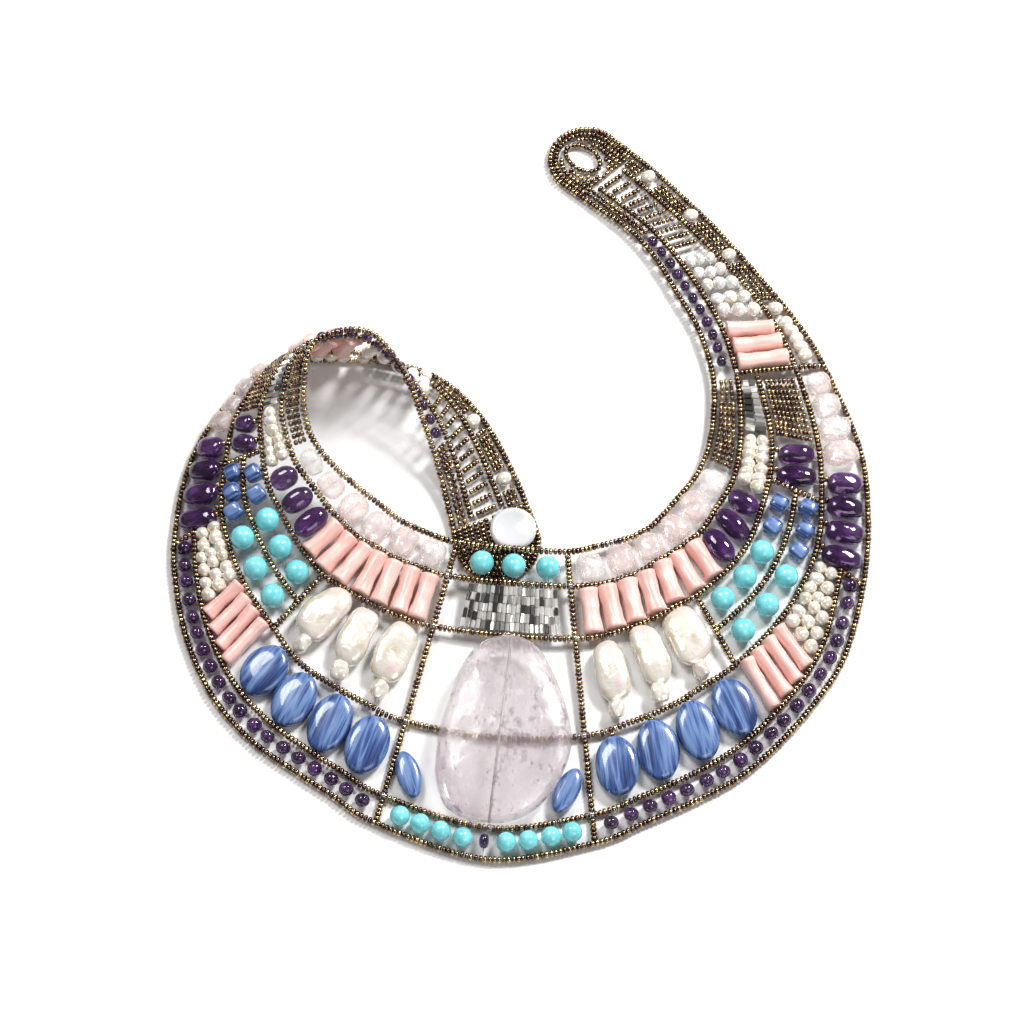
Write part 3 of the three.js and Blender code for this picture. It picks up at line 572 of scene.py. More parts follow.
def lilac_finish(colour):
    """The slab: clear, with flecks, white veils and a cloudier rim"""
    finish = Finish("lilac_slab", Transmission_Weight=0.5, IOR=1.42, Coat_Weight=1.0,
                    Coat_Roughness=0.03)
    veils = finish.noise((0.07, 0.05, 0.12), 5.0, 0.62)
    flecks = finish.noise((0.5, 0.28, 0.5), 3.0, 0.7)
    broken = finish.cracks((0.09, 0.06, 0.2))
    body = finish.ramp(veils, [(0.36, colour), (0.6, scaled(colour, 1.12, 1.14, 1.12))])
    marks = finish.rise(flecks * 0.62 + veils * 0.5 - broken * 0.2, 0.575, 0.66)
    white = finish.rise(flecks * 0.5 - veils * 0.4, 0.09, 0.16)
    frosted = finish.mix(white * 0.8, body, (0.98, 0.97, 0.98))
    x, y, _ = finish.grain()
    x, y = x / (SLAB_WIDTH / 2), y / (SLAB_LENGTH / 2)
    rim = finish.rise(x * x + y * y, 0.55, 1.0)
    finish.set(Base_Color=finish.mix(marks * 0.75, frosted, scaled(colour, 0.42, 0.36, 0.44)),
               Alpha=0.18 + veils * 0.22 + marks * 0.35 + white * 0.25 + rim * 0.25,
               Roughness=0.04 + veils * 0.1)
    finish.bump(flecks * 0.6 + veils * 2 + broken * 1.2, 0.6)
    return finish.material


def kyanite_finish(colour):
    """Blue blades, light and dark, along the stone"""
    finish = Finish("kyanite", Coat_Weight=0.8, Coat_Roughness=0.06)
    blades = finish.noise((0.42, 0.025, 0.3), 3.0, 0.6)
    fine = finish.noise((2.4, 0.12, 1.2), 3.0, 0.6)
    pale = scaled(colour, 3.6, 2.6, 1.7)
    deep = scaled(colour, 0.4, 0.34, 0.42)
    body = finish.ramp(blades, [(0.36, deep), (0.46, colour), (0.55, pale), (0.64, colour),
                                (0.72, deep)])
    finish.set(Base_Color=finish.mix((fine - 0.38) * 1.4 * finish.tone(), body, pale),
               Roughness=0.18 + fine * 0.2)
    finish.bump(fine, 0.08, 0.35)
    return finish.material


def pearl_finish(colour, name="pearl"):
    finish = Finish(name, Metallic=0.28, Coat_Weight=1.0, Coat_Roughness=0.05,
                    Subsurface_Weight=0.1, Subsurface_Radius=(0.002, 0.0018, 0.0015))
    cloud = finish.noise((0.2, 0.14, 0.2))
    finish.set(Base_Color=finish.ramp(cloud, [(0.32, scaled(colour, 0.84, 0.77, 0.62)),
                                              (0.45, colour), (0.58, colour),
                                              (0.7, scaled(colour, 1.02, 0.88, 0.95))]),
               Roughness=0.14 + cloud * 0.2)
    finish.bump(finish.noise(0.3, 2.0), 0.7, 0.45)
    return finish.material


def white_pearl_finish(colour):
    return pearl_finish(colour, "white_pearl")


def silver_finish(colour):
    finish = Finish("silver", Metallic=0.55, Coat_Weight=1.0, Coat_Roughness=0.04)
    marks = finish.noise((2.0, 0.3, 2.0), 2.0)
    finish.set(Base_Color=finish.ramp(finish.tone(), [(0.16, scaled(colour, 0.1)),
                                                      (0.36, scaled(colour, 0.6)),
                                                      (0.7, colour)]),
               Roughness=0.05 + marks * 0.12)
    finish.bump(marks, 0.03, 0.3)
    return finish.material


def button_finish(colour):
    finish = Finish("button_glaze", Coat_Weight=0.8, Coat_Roughness=0.05)
    cloud = finish.noise(0.25)
    finish.set(Base_Color=finish.mix(cloud * 0.12, colour, scaled(colour, 0.86)),
               Roughness=0.14 + cloud * 0.1)
    finish.bump(cloud, 0.05, 0.2)
    return finish.material


def thread_finish(colour):
    finish = Finish("clear_thread", Coat_Weight=0.6, Transmission_Weight=0.3)
    wave = finish.noise((1.0, 0.4, 1.0), 2.0)
    finish.set(Base_Color=finish.mix(wave * 0.4, colour, scaled(colour, 0.7)),
               Roughness=0.2 + wave * 0.2)
    return finish.material


# What gives each colour of the panel its material
FINISHES = {
    "bronze": bead_finish, "clear": link_finish, "turquoise": turquoise_finish,
    "coral": coral_finish, "amethyst": amethyst_finish, "quartz": quartz_finish,
    "lilac": lilac_finish, "kyanite": kyanite_finish, "pearl": pearl_finish,
    "white_pearl": white_pearl_finish, "silver": silver_finish, "button": button_finish,
    "thread": thread_finish,
}


# Sizes and colours that a user may change


def length(name, description, default):
    return FloatProperty(name=name, description=description, default=default * MM,
                         unit="LENGTH", min=0.1 * MM)


def tint(name, description, default):
    return FloatVectorProperty(name=name, description=description, default=default,
                               subtype="COLOR", min=0, max=1)


class NecklaceSizes(bpy.types.PropertyGroup):
    bead: length("Seed bead", "Diameter of the seed beads", 2.3)
    pitch: length("Pitch", "Distance from bead to bead along a strand", 1.44)
    turquoise: length("Turquoise", "Diameter of the large turquoise beads", 7.7)
    edge_turquoise: length("Edge turquoise", "Diameter of the turquoise along the edge", 6.6)
    quartz: length("Rose quartz", "Thickness of the rose quartz", 6.6)
    amethyst: length("Amethyst", "Thickness of the oval amethysts", 6.4)
    edge_round: length("Edge rounds", "Diameter of the amethysts along the edge", 4.9)
    arm_round: length("Arm rounds", "Diameter of the amethysts along the arms", 3.9)
    coral: length("Coral", "Thickness of the coral beads", 5.8)
    kyanite: length("Kyanite", "Thickness of the flat kyanite stones", 5.4)
    cube: length("Kyanite cubes", "Side of the small kyanite blocks", 5.4)
    pearl: length("Pearls", "Diameter of the small pearls", 4.6)
    baroque: length("Baroque pearls", "Width of the large pearls", 11.0)
    slab: length("Slab", "Thickness of the pear-shaped slab", 9.5)
    tube: length("Tubes", "Diameter of the cut silver tubes", 1.9)
    thread: length("Thread", "Diameter of the stringing thread", 0.26)
    tube_columns: IntProperty(name="Tube columns", description="Columns of silver tubes",
                              default=20, min=1)


class NecklaceColours(bpy.types.PropertyGroup):
    bronze: tint("Seed beads", "Coated seed beads of the strands", (0.24, 0.148, 0.08))
    clear: tint("Clear beads", "Beads where the strands cross", (0.72, 0.71, 0.69))
    turquoise: tint("Turquoise", "Round turquoise beads", (0.23, 0.68, 0.74))
    coral: tint("Coral", "Pink coral", (0.83, 0.5, 0.45))
    amethyst: tint("Amethyst", "Deep purple stones", (0.06, 0.011, 0.105))
    quartz: tint("Rose quartz", "Pale pink stones", (0.93, 0.8, 0.78))
    lilac: tint("Slab", "Pale lilac slab", (0.62, 0.52, 0.56))
    kyanite: tint("Kyanite", "Streaked blue stones", (0.055, 0.115, 0.31))
    pearl: tint("Pearls", "Nacre", (0.86, 0.81, 0.73))
    white_pearl: tint("White pearls", "Pearls of the arms", (0.88, 0.87, 0.84))
    silver: tint("Silver", "Cut tubes", (0.95, 0.93, 0.9))
    button: tint("Button", "Glazed button", (0.66, 0.665, 0.68))
    thread: tint("Thread", "Clear stringing thread", (0.75, 0.74, 0.72))
    floor: tint("Floor", "The pale floor", (0.9, 0.9, 0.9))


def sizes():
    return bpy.context.scene.necklace_sizes


def colours():
    return bpy.context.scene.necklace_colours


def in_mm(value):
    return value / MM


# Rows of beads


def walk(points, pitch):
    """Evenly spaced places along a line of points, with the direction at each"""
    lengths = [(b - a).length for a, b in zip(points, points[1:])]
    count = max(round(sum(lengths) / pitch), 1)
    step = sum(lengths) / count
    wanted, passed, found = step / 2, 0.0, []
    for (a, b), size in zip(zip(points, points[1:]), lengths):
        while size > 0 and wanted <= passed + size and len(found) < count:
            found.append((a.lerp(b, (wanted - passed) / size), (b - a).normalized()))
            wanted += step
        passed += size
    return found


def strand_line(start, end, strand):
    count = max(int(abs(end - start) * 12), 2)
    return [on_strand(start + (end - start) * i / count, strand) for i in range(count + 1)]


def round_end(side, edge):
    line = []
    for degrees in range(8, 90, 8):
        share = (1 - math.cos(math.radians(degrees))) / 2
        at = side * (LAST + math.sin(math.radians(degrees)))
        line.append(on_rib(at, 1 - share if edge else share))
    return line


def string(pile, line, pitch, bead):
    """Seed beads threaded along a line of points, none of them quite in line"""
    slack, tilt = 0.03, 0.05
    for position, way in walk(line, pitch):
        shake = Vector([pile.dice.uniform(-1, 1) for _ in range(3)])
        swell = pile.dice.uniform(0.93, 1.05)
        place = aim(position + shake * slack, way + shake * tilt, pile.dice.uniform(0, 1))
        pile.put(bead, place @ Matrix.Diagonal((swell, pile.dice.uniform(0.85, 1.1), swell, 1)))


def rungs(pile, side, run, row, pitch=1.42, spacing=1.95, skip=None):
    """Short rows of seed beads from strand to strand, side by side"""
    from_strand = 1.7
    inner, outer = row
    start, end = (side * at for at in run)
    middle = (inner + outer) / 2
    count = max(round(run_length(start, end, middle) / spacing), 1)
    for at in places(start, end, count, middle):
        if skip and skip(at):
            continue
        a, b = on_strand(at, inner), on_strand(at, outer)
        way = (b - a).normalized()
        string(pile, [a + way * from_strand, b - way * from_strand], pitch, maker().woven)


class Maker:
    """What the operators share: the looks, the seed beads, the threads and the spacers"""

    def __init__(self):
        tints = colours()
        self.looks = {name: made(tuple(getattr(tints, name))) for name, made in FINISHES.items()}
        self.pitch = in_mm(sizes().pitch)
        self.bead = seed_bead(in_mm(sizes().bead), self.pitch)
        self.woven = seed_bead(in_mm(sizes().bead) * 0.83, self.pitch)
        self.threads = Pile(5)
        self.spacers = Pile(6)

    def across(self, at, inner, outer):
        """A thread from strand to strand"""
        self.threads.thread(on_strand(at, inner), on_strand(at, outer))


MAKERS = []


def maker():
    if not MAKERS:
        MAKERS.append(Maker())
    return MAKERS[0]


def squared(at, share, amount):
    """The turn that brings a bead from lying along the rib towards square to the strands"""
    along, across, face = directions(at, share)
    square = (across - along * across.dot(along)).normalized()
    return amount * math.atan2(face.dot(across.cross(square)), across.dot(square))


def stone_row(node, look, side, row, run, count, shape, thickness, trim, spacer=False, seed=0,
              square=0.0):
    """A row of stones, each strung across the collar between two strands"""
    make = maker()
    inner, outer = row
    pile = Pile(seed + 11)
    start, end = (side * at for at in run)
    middle = (inner + outer) / 2
    pitch = run_length(start, end, middle) / count
    for i, at in enumerate(places(start, end, count, middle)):
        share = halfway(at, inner, outer)
        along, across, _ = directions(at, share)
        room = pitch * along.cross(across).length
        turn = squared(at, share, square)
        size = between(at, inner, outer) * math.cos(turn) - trim
        place = seat(at, share, thickness, turn + pile.dice.uniform(-0.05, 0.05))
        pile.put(shape(size, room, i + seed * 20, pile.dice), place)
        make.threads.thread(on_strand(at, inner), place.translation)
        make.threads.thread(place.translation, on_strand(at, outer))
        if spacer:
            way = place.translation - on_strand(at, inner)
            near = on_strand(at, inner) + way.normalized() * 1.75
            make.spacers.put(make.bead, aim(near, way))
    pile.dress(node, "stones", look)


def oval_stone(thickness, square, lumps, fill):
    return lambda size, room, seed, dice: pebble(
        size, room * fill * dice.uniform(0.94, 1.0), thickness * dice.uniform(0.9, 1.0), square,
        lumps, 3.0, seed)


def ball(size, seed):
    return pebble(size, size, size, 2, 0.02, 3, seed)


class Step:
    """An operator whose build method makes its pieces with what the operators share"""

    def execute(self, context):
        self.build(maker())
        return {"FINISHED"}


class NECKLACE_OT_strands(Step, bpy.types.Operator):
    """String the seed beads of the six strands and the links between them"""

    bl_idname = "necklace.strands"
    bl_label = "Strands"

    def build(self, make):
        names = ["neckline", "second", "third", "fourth", "fifth", "edge"]
        inner_end = BAND_AT - 0.05
        spans = [LAST, inner_end, 10.9, inner_end, 8, LAST]
        # Short strands across the collar: the section, the strand each starts at and ends at
        crossings = {
            "second": [(1, 0, 1)],
            "third": [(1, 1, 2)],
            "fourth": [(1, 2, 3), (5, 2, 3), (8.8, 2, 3), (11, 1, 3)],
            "fifth": [(1, 3, 4), (7.95, 3, 4)],
            "edge": [(1, 4, 5), (7.9, 4, 5), (11, 3, 5)],
        }
        for strand, (name, span) in enumerate(zip(names, spans)):
            pile = Pile(strand + 20)
            line = strand_line(-span, span, strand)
            if span == LAST:
                line = round_end(-1, strand == 5)[::-1] + line + round_end(1, strand == 5)
            string(pile, line, make.pitch, make.bead)
            for at, inner, outer in crossings.get(name, []):
                for side, _ in SIDES:
                    a, b = on_strand(side * at, inner), on_strand(side * at, outer)
                    way = (b - a).normalized()
                    string(pile, [a + way * 1.1, b - way * 0.9], make.pitch, make.bead)
            if name == "fourth":
                for side, _ in SIDES:
                    string(pile, strand_line(side * 5, side * 8.8, 2.5), make.pitch, make.bead)
            pile.finish(f"{name}_beads", "bronze", "bronze", f"{name}_strand")
        clear = Pile(3)
        big = seed_bead(2.35, 1.9)
        for at, strand in [(1, 1), (1, 2), (1, 3), (1, 4), (0, 2), (0, 4), (11, 1), (11, 3)]:
            for side in (1, -1) if at else (1,):
                way = on_strand(side * at + 0.05, strand) - on_strand(side * at - 0.05, strand)
                clear.put(big, aim(on_strand(side * at, strand) + Vector((0, 0, 0.35)), way))
        clear.finish("clear_beads", "clear", "silver")


class NECKLACE_OT_weave(Step, bpy.types.Operator):
    """Weave the bands of seed beads, with the pearls set in them"""

    bl_idname = "necklace.weave"
    bl_label = "Woven bands"

    def build(self, make):
        studs, stud_reach, size = [12.4, 13.65, 14.9, 16], 0.17, 4.6
        for side, end in SIDES:
            collar, block, band, pearls = Pile(31), Pile(32), Pile(33), Pile(34)
            rungs(collar, side, (8.5, 10.9), (0, 1))
            rungs(block, side, (9.88, 10.84), (2, 3), 1.38)
            rungs(band, side, (14.75, 16.5), (0, 1))
            rungs(band, side, (14, BAND_AT), (1, 3), 1.4, 3.9)
            rungs(band, side, (12.2, BAND_AT), (3, 5),
                  skip=lambda at: any(abs(abs(at) - stud) < stud_reach for stud in studs))
            for stud in studs:
                pearls.put(pebble(size * 1.15, size, size * 0.9, 2, 0.08, 3, stud),
                           seat(side * stud, halfway(side * stud, 3, 5), size))
            self.tip(band, side)
            for i, at in enumerate(places(side * 11.12, side * 12.15, 5, 4)):
                pearls.put(pebble(5.2, 4.4, 4.0, 2.2, 0.12, 2.5, i),
                           seat(at, halfway(at, 3, 5), 4.2, 0.5 * (-1) ** i))
            for node, pile in (("woven_collar", collar), ("seed_block", block),
                               ("end_band", band)):
                pile.dress(f"{node}_{end}", "beads", "bronze", "weave")
            pearls.finish(f"band_pearls_{end}", "pearl", "pearl")

    def tip(self, band, side):
        """Rows of beads round the button hole, or straight rows where there is none"""
        make = maker()
        width = rib_length(side * LAST)
        back = (on_rib(side * LAST, 0.5) - on_rib(side * (LAST - 1), 0.5)).length

        def spot(u, v):
            at = LAST + u / (width / 2) if u > 0 else LAST + u / back
            return on_rib(side * at, 0.5 + v / width)

        rim, row_spacing = 2.7, 1.93
        reach = (LAST - BAND_AT) * back - 0.6
        forward = (HOLE_AT - LAST) * width / 2

        def clear(u, v):
            if side < 0:
                return True
            long_half, wide_half = HOLE_LENGTH / 2 + rim, HOLE_WIDTH / 2 + rim
            return math.hypot((u - forward) / long_half, v / wide_half) > 1

        for row in range(1, 7):
            radius = width / 2 - row_spacing * row
            if radius < 0.4:
                continue
            track = [(-reach + reach * i / 8, radius) for i in range(8)]
            track += [(radius * math.sin(math.pi * i / 30), radius * math.cos(math.pi * i / 30))
                      for i in range(31)]
            track += [(-reach * i / 8, -radius) for i in range(1, 9)]
            line = []
            for u, v in track + [(None, None)]:
                if u is not None and clear(u, v):
                    line.append(spot(u, v))
                    continue
                if len(line) > 1:
                    string(band, line, make.pitch, make.woven)
                line = []
        if side > 0:
            ring = [spot(forward + (HOLE_LENGTH / 2 + 1) * math.sin(math.tau * i / 48),
                         (HOLE_WIDTH / 2 + 1) * math.cos(math.tau * i / 48)) for i in range(49)]
            string(band, ring, make.pitch, make.woven)


class NECKLACE_OT_rounds(Step, bpy.types.Operator):
    """Set the round turquoise and amethyst beads"""

    bl_idname = "necklace.rounds"
    bl_label = "Round beads"

    def build(self, make):
        large, small = in_mm(sizes().turquoise), in_mm(sizes().edge_turquoise)
        centre = Pile(41)
        for i, at in enumerate((-0.49, 0, 0.59)):
            centre.put(ball(large, i), seat(at, halfway(at, 0, 1), large, 0, BAND_TOP + CLEARANCE))
            make.across(at, 0, 1)
        centre.dress("centre_turquoise", "beads", "turquoise")

        edge, rondelle = Pile(42), Pile(43)
        width = small * 0.94
        for i, at in enumerate(places(-0.88, 0.88, 9, 4.5)):
            share = strand_share(at, 4.5)
            if i == 4:
                rondelle.put(pebble(4.6, 3.0, 4.6, 2.2, 0, 3, i), seat(at, share, small))
            else:
                edge.put(ball(width, i), seat(at, share, width))
            make.across(at, 4, 5)
        edge.dress("edge_turquoise", "beads", "turquoise")
        rondelle.finish("edge_rondelle", "amethyst", "amethyst")

        for side, end in SIDES:
            for label, strand, row in (("a", 2.25, 2.25), ("b", 2.74, 2.75)):
                pile = Pile(44)
                for i, at in enumerate(places(side * 5.15, side * 7.45, 3, row)):
                    pile.put(ball(large, i + 9), seat(at, strand_share(at, strand), large))
                    make.across(at, row - 0.25, row + 0.25)
                pile.dress(f"turquoise_{end}_{label}", "beads", "turquoise")
            self.string_of_rounds(f"edge_amethyst_{end}", side, (1.12, 7.9), 4.5,
                                  in_mm(sizes().edge_round), 19)
            self.string_of_rounds(f"arm_amethyst_{end}", side, (11.15, 14.65), 0.5,
                                  in_mm(sizes().arm_round), 11 if side > 0 else 12)

    def string_of_rounds(self, node, side, run, strand, size, count):
        pile = Pile(45)
        for i, at in enumerate(places(side * run[0], side * run[1], count, strand)):
            bead = pebble(size * pile.dice.uniform(0.8, 1), size * 0.97, size * 0.97, 2.1, 0.02, 2,
                          i, 3)
            turn = pile.dice.uniform(-0.2, 0.2)
            pile.put(bead, seat(at, strand_share(at, strand), size, turn))
            maker().across(at, math.floor(strand), math.floor(strand) + 1)
        pile.dress(node, "beads", "amethyst")


class NECKLACE_OT_ovals(Step, bpy.types.Operator):
    """Set the rose quartz and the oval amethysts"""

    bl_idname = "necklace.ovals"
    bl_label = "Quartz and amethyst"

    def build(self, make):
        # Look, node, strands, run, count, squareness, lumps, fill, trim and turn
        rows = (
            ("quartz", "rose_quartz", (0, 1), (1.15, 8.3), 6, 2.7, 0.14, 0.9, 2.3, 0.6),
            ("quartz", "outer_quartz", (3, 5), (9.6, 10.86), 4, 2.9, 0.16, 0.98, 2.6, 0.9),
            ("amethyst", "inner_amethyst", (1, 2), (5.85, 8.15), 3, 2.3, 0.05, 0.94, 2.3, 0.3),
            ("amethyst", "middle_amethyst", (2, 3), (8.86, 9.78), 2, 2.5, 0.05, 0.97, 3.6, 0.9),
            ("amethyst", "outer_amethyst", (3, 5), (7.86, 9.47), 4, 2.5, 0.05, 0.97, 3.2, 0.9),
        )
        for side, end in SIDES:
            for seed, (look, node, row, run, count, square, lumps, fill, trim, turn) in enumerate(
                    rows, 1):
                thick = in_mm(getattr(sizes(), look))
                stone_row(f"{node}_{end}", look, side, row, run, count,
                          oval_stone(thick, square, lumps, fill), thick, trim, trim > 3, seed, turn)


class NECKLACE_OT_corals(Step, bpy.types.Operator):
    """Set the pink coral beads side by side"""

    bl_idname = "necklace.corals"
    bl_label = "Corals"

    def build(self, make):
        thick = in_mm(sizes().coral)

        def stick(size, room, seed, dice):
            made = bone(size, room * 1.06, seed)
            for point in made.points:
                point.z *= thick / room
            return made

        for side, end in SIDES:
            for node, row, run, count in (("inner_coral", (1, 2), (1.16, 5.9), 7),
                                          ("outer_coral", (3, 4), (5.1, 6.3), 4),
                                          ("arm_coral", (1, 3), (11.04, 12.12), 3)):
                stone_row(f"{node}_{end}", "coral", side, row, run, count, stick, thick, 2.3,
                          seed=6)


class NECKLACE_OT_kyanite(Step, bpy.types.Operator):
    """Set the flat kyanite ovals and the small kyanite blocks"""

    bl_idname = "necklace.kyanite"
    bl_label = "Kyanite"

    def build(self, make):
        thick, cube, width = in_mm(sizes().kyanite), in_mm(sizes().cube), 13.5

        def flat_oval(size, room, seed, dice):
            return cabochon(min(LONGEST, size), width * dice.uniform(0.95, 1.02), thick, seed)

        for side, end in SIDES:
            stone_row(f"kyanite_{end}", "kyanite", side, (3, 4), (1.12, 4.98), 4, flat_oval, thick,
                      2.6, True, 7)
            small = Pile(51)
            small.put(cabochon(15.4, 7.4, thick * 0.8, 3),
                      seat(side * 0.76 - 0.03, 0.81, thick * 0.8, -side * 0.5))
            small.dress(f"small_kyanite_{end}", "stone", "kyanite")
            for label, strand, last, count in (("a", 2.25, 8.6, 2), ("b", 2.75, 8.76, 3)):
                pile = Pile(52)
                for i, at in enumerate(places(side * 7.48, side * last, count, strand)):
                    room = between(at, strand - 0.25, strand + 0.25) - 2.6
                    pile.put(pebble(min(cube, room) * 1.05, cube * 1.02, cube * 0.95, 4.2, 0.06, 3,
                                    i + 3), seat(at, strand_share(at, strand), cube))
                    make.across(at, strand - 0.25, strand + 0.25)
                pile.dress(f"kyanite_cubes_{end}_{label}", "stones", "kyanite")


class NECKLACE_OT_pearls(Step, bpy.types.Operator):
    """Set the baroque pearls and the clusters of small pearls"""

    bl_idname = "necklace.pearls"
    bl_label = "Pearls"

    def build(self, make):
        width, trim, drop = in_mm(sizes().baroque), 2.8, 6.4
        for side, end in SIDES:
            pile = Pile(61)
            for i, at in enumerate(places(side * 1.2, side * 4.8, 3, 2.5)):
                share = halfway(at, 2, 3)
                rib = rib_length(at)
                big = min(LONGEST, between(at, 2, 3) - trim - drop)
                wide = width * (1, 0.94, 1.12)[i]
                pile.put(pebble(big, wide, width * 0.52, 2.8, 0.2, 7.5, i + side * 4),
                         seat(at, share - 3.2 / rib, width * 0.62, 0.08 * side))
                pile.put(pebble(6.6, 5.2, 4.8, 2.2, 0.3, 2.5, i + 30),
                         seat(at, share + (big / 2 - 0.4) / rib, width * 0.62))
                make.across(at, 2, 3)
            pile.dress(f"baroque_pearls_{end}", "stones", "pearl")
            for node, run, row, count, across, look in (
                    ("inner_pearls", (8.3, 9.75), (1, 2), 6, 2, "pearl"),
                    ("outer_pearls", (6.35, 7.85), (3, 4), 6, 3, "pearl"),
                    ("arm_pearls", (12.25, 13.85), (1, 3), 5, 3, "white_pearl")):
                self.cluster(f"{node}_{end}", side, run, row, count, across, look)

    def cluster(self, node, side, run, row, count, across, look):
        pile = Pile(62)
        size = in_mm(sizes().pearl)
        inner, outer = row
        for i, at in enumerate(places(side * run[0], side * run[1], count, (inner + outer) / 2)):
            low, high = strand_share(at, inner), strand_share(at, outer)
            rib = rib_length(at)
            free = (high - low) * rib - 2.2
            fitting = max(min(across, int(free / (size * 0.72))), 1)
            for k in range(fitting):
                share = low + (1.1 + free * (k + 0.5) / fitting) / rib
                shift = pile.dice.uniform(-0.03, 0.03) * side
                wide = min(size, free / fitting * 1.02)
                pile.put(pebble(wide * 1.05, size * pile.dice.uniform(0.9, 1.04), size * 0.9, 2,
                                0.16, 2.2, i * 5 + k, 3),
                         seat(at + shift, share, size, pile.dice.uniform(-0.6, 0.6)))
            maker().across(at, inner, outer)
        pile.dress(node, "stones", look, "pearl")


class NECKLACE_OT_tubes(Step, bpy.types.Operator):
    """Stack the cut silver tubes in columns"""

    bl_idname = "necklace.tubes"
    bl_label = "Silver tubes"

    def build(self, make):
        self.columns("centre_tubes", -0.62, 0.74, sizes().tube_columns, 5, 0.49)
        for side, end in SIDES:
            self.columns(f"arm_tubes_{end}", side * 9.86, side * 10.84, 8, 2, 0.5)
        make.threads.finish("threads", "thread", "silver")
        make.spacers.finish("spacer_beads", "bronze", "bronze")

    def columns(self, node, start, end, count, stacked, fill):
        pile = Pile(71)
        pitch = run_length(start, end, 1.5) / count
        for at in places(start, end, count, 1.5):
            rib = rib_length(at)
            room = (strand_share(at, 2) - strand_share(at, 1)) * rib - 2.6
            cuts = [pile.dice.uniform(0.88, 1.12) for _ in range(stacked)]
            begun = 1.3
            for cut in cuts:
                size = room * cut / sum(cuts)
                share = strand_share(at, 1) + (begun + size / 2) / rib
                place = seat(at, share, in_mm(sizes().tube), pile.dice.uniform(-0.04, 0.04))
                roll = Matrix.Rotation(pile.dice.uniform(0, 1), 4, "Y")
                pile.put(cut_tube(pitch * fill * 2, size * 0.92), place @ roll)
                begun += size
            maker().across(at, 1, 2)
        pile.dress(node, "beads", "silver")


def box_middle(node):
    low, high = (Vector(corner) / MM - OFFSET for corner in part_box(node))
    return (low + high) / 2


class NECKLACE_OT_slab(Step, bpy.types.Operator):
    """Shape the pear-shaped slab and the thread through it"""

    bl_idname = "necklace.slab"
    bl_label = "Slab"

    def build(self, make):
        outline = [(0.062, 0.5), (0.18, 0.475), (0.282, 0.415), (0.355, 0.325), (0.42, 0.212),
                   (0.47, 0.098), (0.5, -0.027), (0.488, -0.134), (0.437, -0.235),
                   (0.35, -0.34), (0.237, -0.425), (0.087, -0.482), (-0.1, -0.5),
                   (-0.29, -0.475), (-0.43, -0.4), (-0.49, -0.277), (-0.495, -0.152),
                   (-0.465, 0.009), (-0.4, 0.16), (-0.33, 0.308), (-0.222, 0.425),
                   (-0.08, 0.488)]
        thick = in_mm(sizes().slab)
        mesh = bmesh.new()
        closed = outline[-2:] + outline + outline[:3]
        corners = []
        for i in range(len(outline) * 4):
            x, y = (spline([corner[axis] for corner in closed], 2 + i / 4) for axis in (0, 1))
            corners.append(mesh.verts.new((x * SLAB_WIDTH * 0.5, y * SLAB_LENGTH * 0.5,
                                           -0.5 * thick)))
        face = mesh.faces.new(corners)
        size, height = 0.5, -0.5
        # Rings from the flat underside up to the crown: their size and height as shares
        for wanted, rise in ((0.82, -0.5), (0.93, -0.43), (0.98, -0.3), (1.0, -0.08), (0.985, 0.1),
                             (0.955, 0.22), (0.9, 0.31), (0.82, 0.37), (0.7, 0.42), (0.56, 0.455),
                             (0.42, 0.48), (0.28, 0.495), (0.14, 0.5)):
            raised = bmesh.ops.extrude_face_region(mesh, geom=[face])["geom"]
            if size > 0.5 or height > -0.5:
                bmesh.ops.delete(mesh, geom=[face], context="FACES_ONLY")
            ring = [item for item in raised if isinstance(item, bmesh.types.BMVert)]
            face = next(item for item in raised if isinstance(item, bmesh.types.BMFace))
            bmesh.ops.scale(mesh, verts=ring, vec=(wanted / size, wanted / size, 1))
            bmesh.ops.translate(mesh, verts=ring, vec=(0, 0, (rise - height) * thick))
            size, height = wanted, rise
        bmesh.ops.poke(mesh, faces=[item for item in mesh.faces if len(item.verts) > 20])
        bmesh.ops.recalc_face_normals(mesh, faces=mesh.faces[:])
        bmesh.ops.subdivide_edges(mesh, edges=mesh.edges[:], cuts=1, use_grid_fill=True)
        for vertex in mesh.verts:
            lump = noise.noise(vertex.co * 0.07) * 0.6 + noise.noise(vertex.co * 0.2) * 0.2
            vertex.co.z += lump * (1 if vertex.co.z > 0 else 0.4)
        place = Matrix.Translation(box_middle("amethyst_slab") + Vector((2.0, -0.6, 0)))
        slab = Pile(81)
        slab.put(Shape(mesh), place, 0.3)
        slab.finish("slab_stone", "lilac", "lilac", "amethyst_slab")
        drill = Pile(82)
        drill.thread(place @ Vector((2.7, 30.5, 0)), place @ Vector((-4.3, -30.4, 0)), 0.84)
        drill.finish("slab_thread", "thread", "silver")


class NECKLACE_OT_button(Step, bpy.types.Operator):
    """Turn the white button"""

    bl_idname = "necklace.button"
    bl_label = "Button"

    def build(self, make):
        profile = [(0, 0.72), (0.62, 0.76), (0.72, 0.98), (0.86, 1), (0.95, 0.72), (1, 0.2),
                   (1, -0.2), (0.93, -0.8), (0.8, -1), (0, -1)]
        disc = lathed(profile, BUTTON_DIAMETER, BUTTON_THICKNESS, 48)
        pile = Pile(91)
        flat = Matrix.Rotation(math.pi / 2, 4, "X")
        pile.put(disc, Matrix.Translation(box_middle("button")) @ flat, 0.5)
        pile.dress("button", "disc", "button")


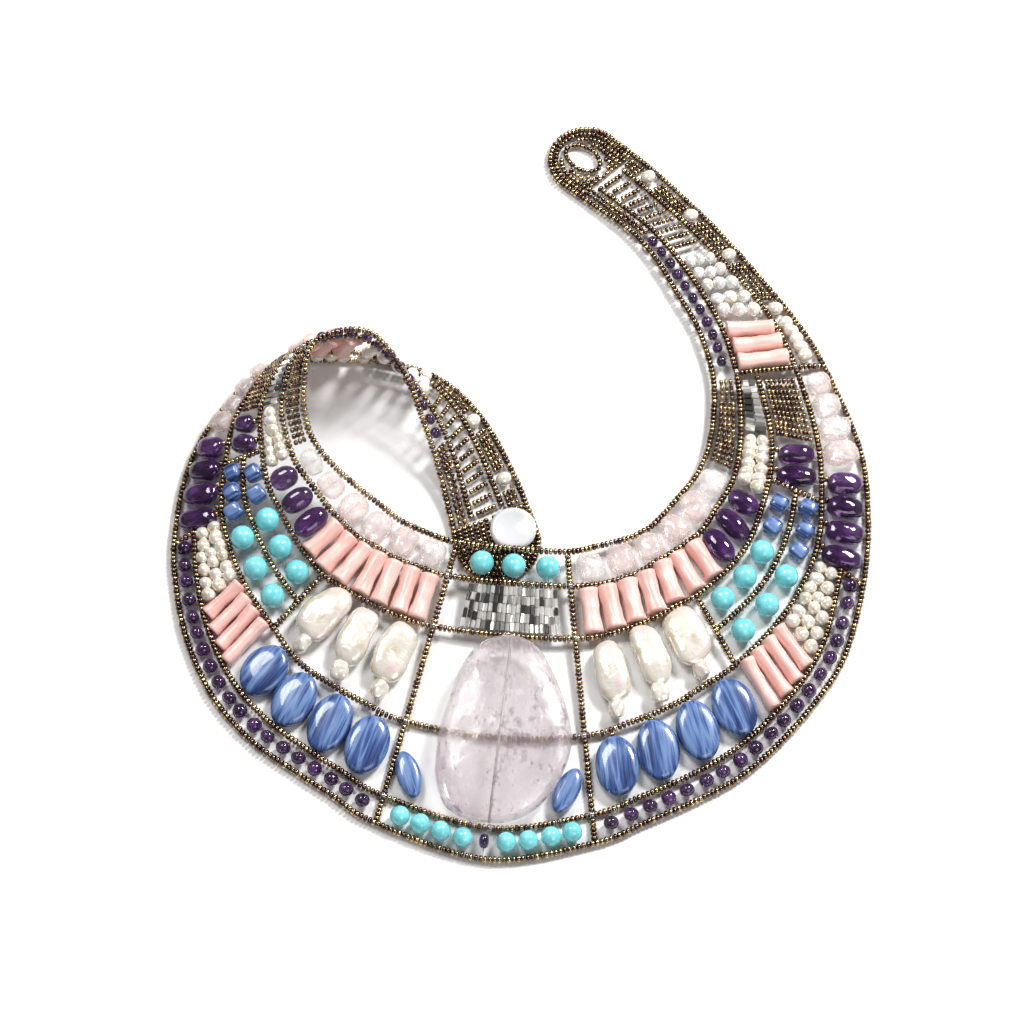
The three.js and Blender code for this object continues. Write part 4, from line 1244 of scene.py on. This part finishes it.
class NECKLACE_OT_stage(Step, bpy.types.Operator):
    """Lay the pale floor, and set the studio light and the camera"""

    bl_idname = "necklace.stage"
    bl_label = "Stage"

    def build(self, make):
        scene = bpy.context.scene
        mesh = bmesh.new()
        bmesh.ops.create_grid(mesh, x_segments=1, y_segments=1, size=3)
        data = bpy.data.meshes.new("floor")
        mesh.to_mesh(data)
        mesh.free()
        floor = bpy.data.objects.new("floor", data)
        scene.collection.objects.link(floor)
        finish = Finish("floor_paper", Roughness=0.7, Base_Color=tuple(colours().floor))
        data.materials.append(finish.material)

        middle = OFFSET * MM
        self.light("key", middle + Vector((0.55, 0.5, 0.8)), middle, 0.25, 10.5)
        self.light("fill", middle + Vector((0.5, -0.8, 0.8)), middle, 0.6, 2.8)
        self.light("top", middle + Vector((-0.38, 0.42, 1.05)), middle, 0.4, 5.2)
        world = bpy.data.worlds.new("studio")
        world.use_nodes = True
        sky = world.node_tree.nodes["Background"].inputs
        sky["Color"].default_value = (1, 0.965, 0.93, 1)
        sky["Strength"].default_value = 0.17
        scene.world = world
        scene.view_settings.view_transform = "Standard"
        scene.view_settings.look = "Medium High Contrast"

        camera = bpy.data.objects.new("camera", bpy.data.cameras.new("camera"))
        scene.collection.objects.link(camera)
        height, distance = math.radians(66), 0.9
        focal_pixels, width_pixels, sensor = 2812.5, 1024, 36
        camera.location = middle + Vector((0, -math.cos(height), math.sin(height))) * distance
        camera.rotation_euler = (math.pi / 2 - height, 0, 0)
        camera.data.lens = focal_pixels * sensor / width_pixels
        camera.data.sensor_width = sensor
        camera.data.clip_start = 0.01
        scene.camera = camera

    def light(self, name, position, target, size, power):
        lamp = bpy.data.lights.new(name, "AREA")
        lamp.size = size
        lamp.energy = power
        holder = bpy.data.objects.new(name, lamp)
        holder.location = position
        holder.rotation_euler = (target - position).to_track_quat("-Z", "Y").to_euler()
        bpy.context.scene.collection.objects.link(holder)


OPERATORS = (
    NECKLACE_OT_strands, NECKLACE_OT_weave, NECKLACE_OT_rounds, NECKLACE_OT_ovals,
    NECKLACE_OT_corals, NECKLACE_OT_kyanite, NECKLACE_OT_pearls, NECKLACE_OT_slab,
    NECKLACE_OT_button, NECKLACE_OT_tubes, NECKLACE_OT_stage,
)


class NECKLACE_PT_panel(bpy.types.Panel):
    bl_idname = "NECKLACE_PT_panel"
    bl_label = "Bib necklace"
    bl_space_type = "VIEW_3D"
    bl_region_type = "UI"
    bl_category = "Necklace"

    def draw(self, context):
        for group in (context.scene.necklace_sizes, context.scene.necklace_colours):
            for name in group.__annotations__:
                self.layout.prop(group, name)
        for operator in OPERATORS:
            self.layout.operator(operator.bl_idname)


CLASSES = (NecklaceSizes, NecklaceColours, *OPERATORS, NECKLACE_PT_panel)


def register():
    for each in CLASSES:
        bpy.utils.register_class(each)
    bpy.types.Scene.necklace_sizes = PointerProperty(type=NecklaceSizes)
    bpy.types.Scene.necklace_colours = PointerProperty(type=NecklaceColours)


def unregister():
    del bpy.types.Scene.necklace_colours
    del bpy.types.Scene.necklace_sizes
    for each in reversed(CLASSES):
        bpy.utils.unregister_class(each)


def main():
    register()
    for operator in OPERATORS:
        group, name = operator.bl_idname.split(".")
        getattr(getattr(bpy.ops, group), name)()


if __name__ == "__main__":
    main()
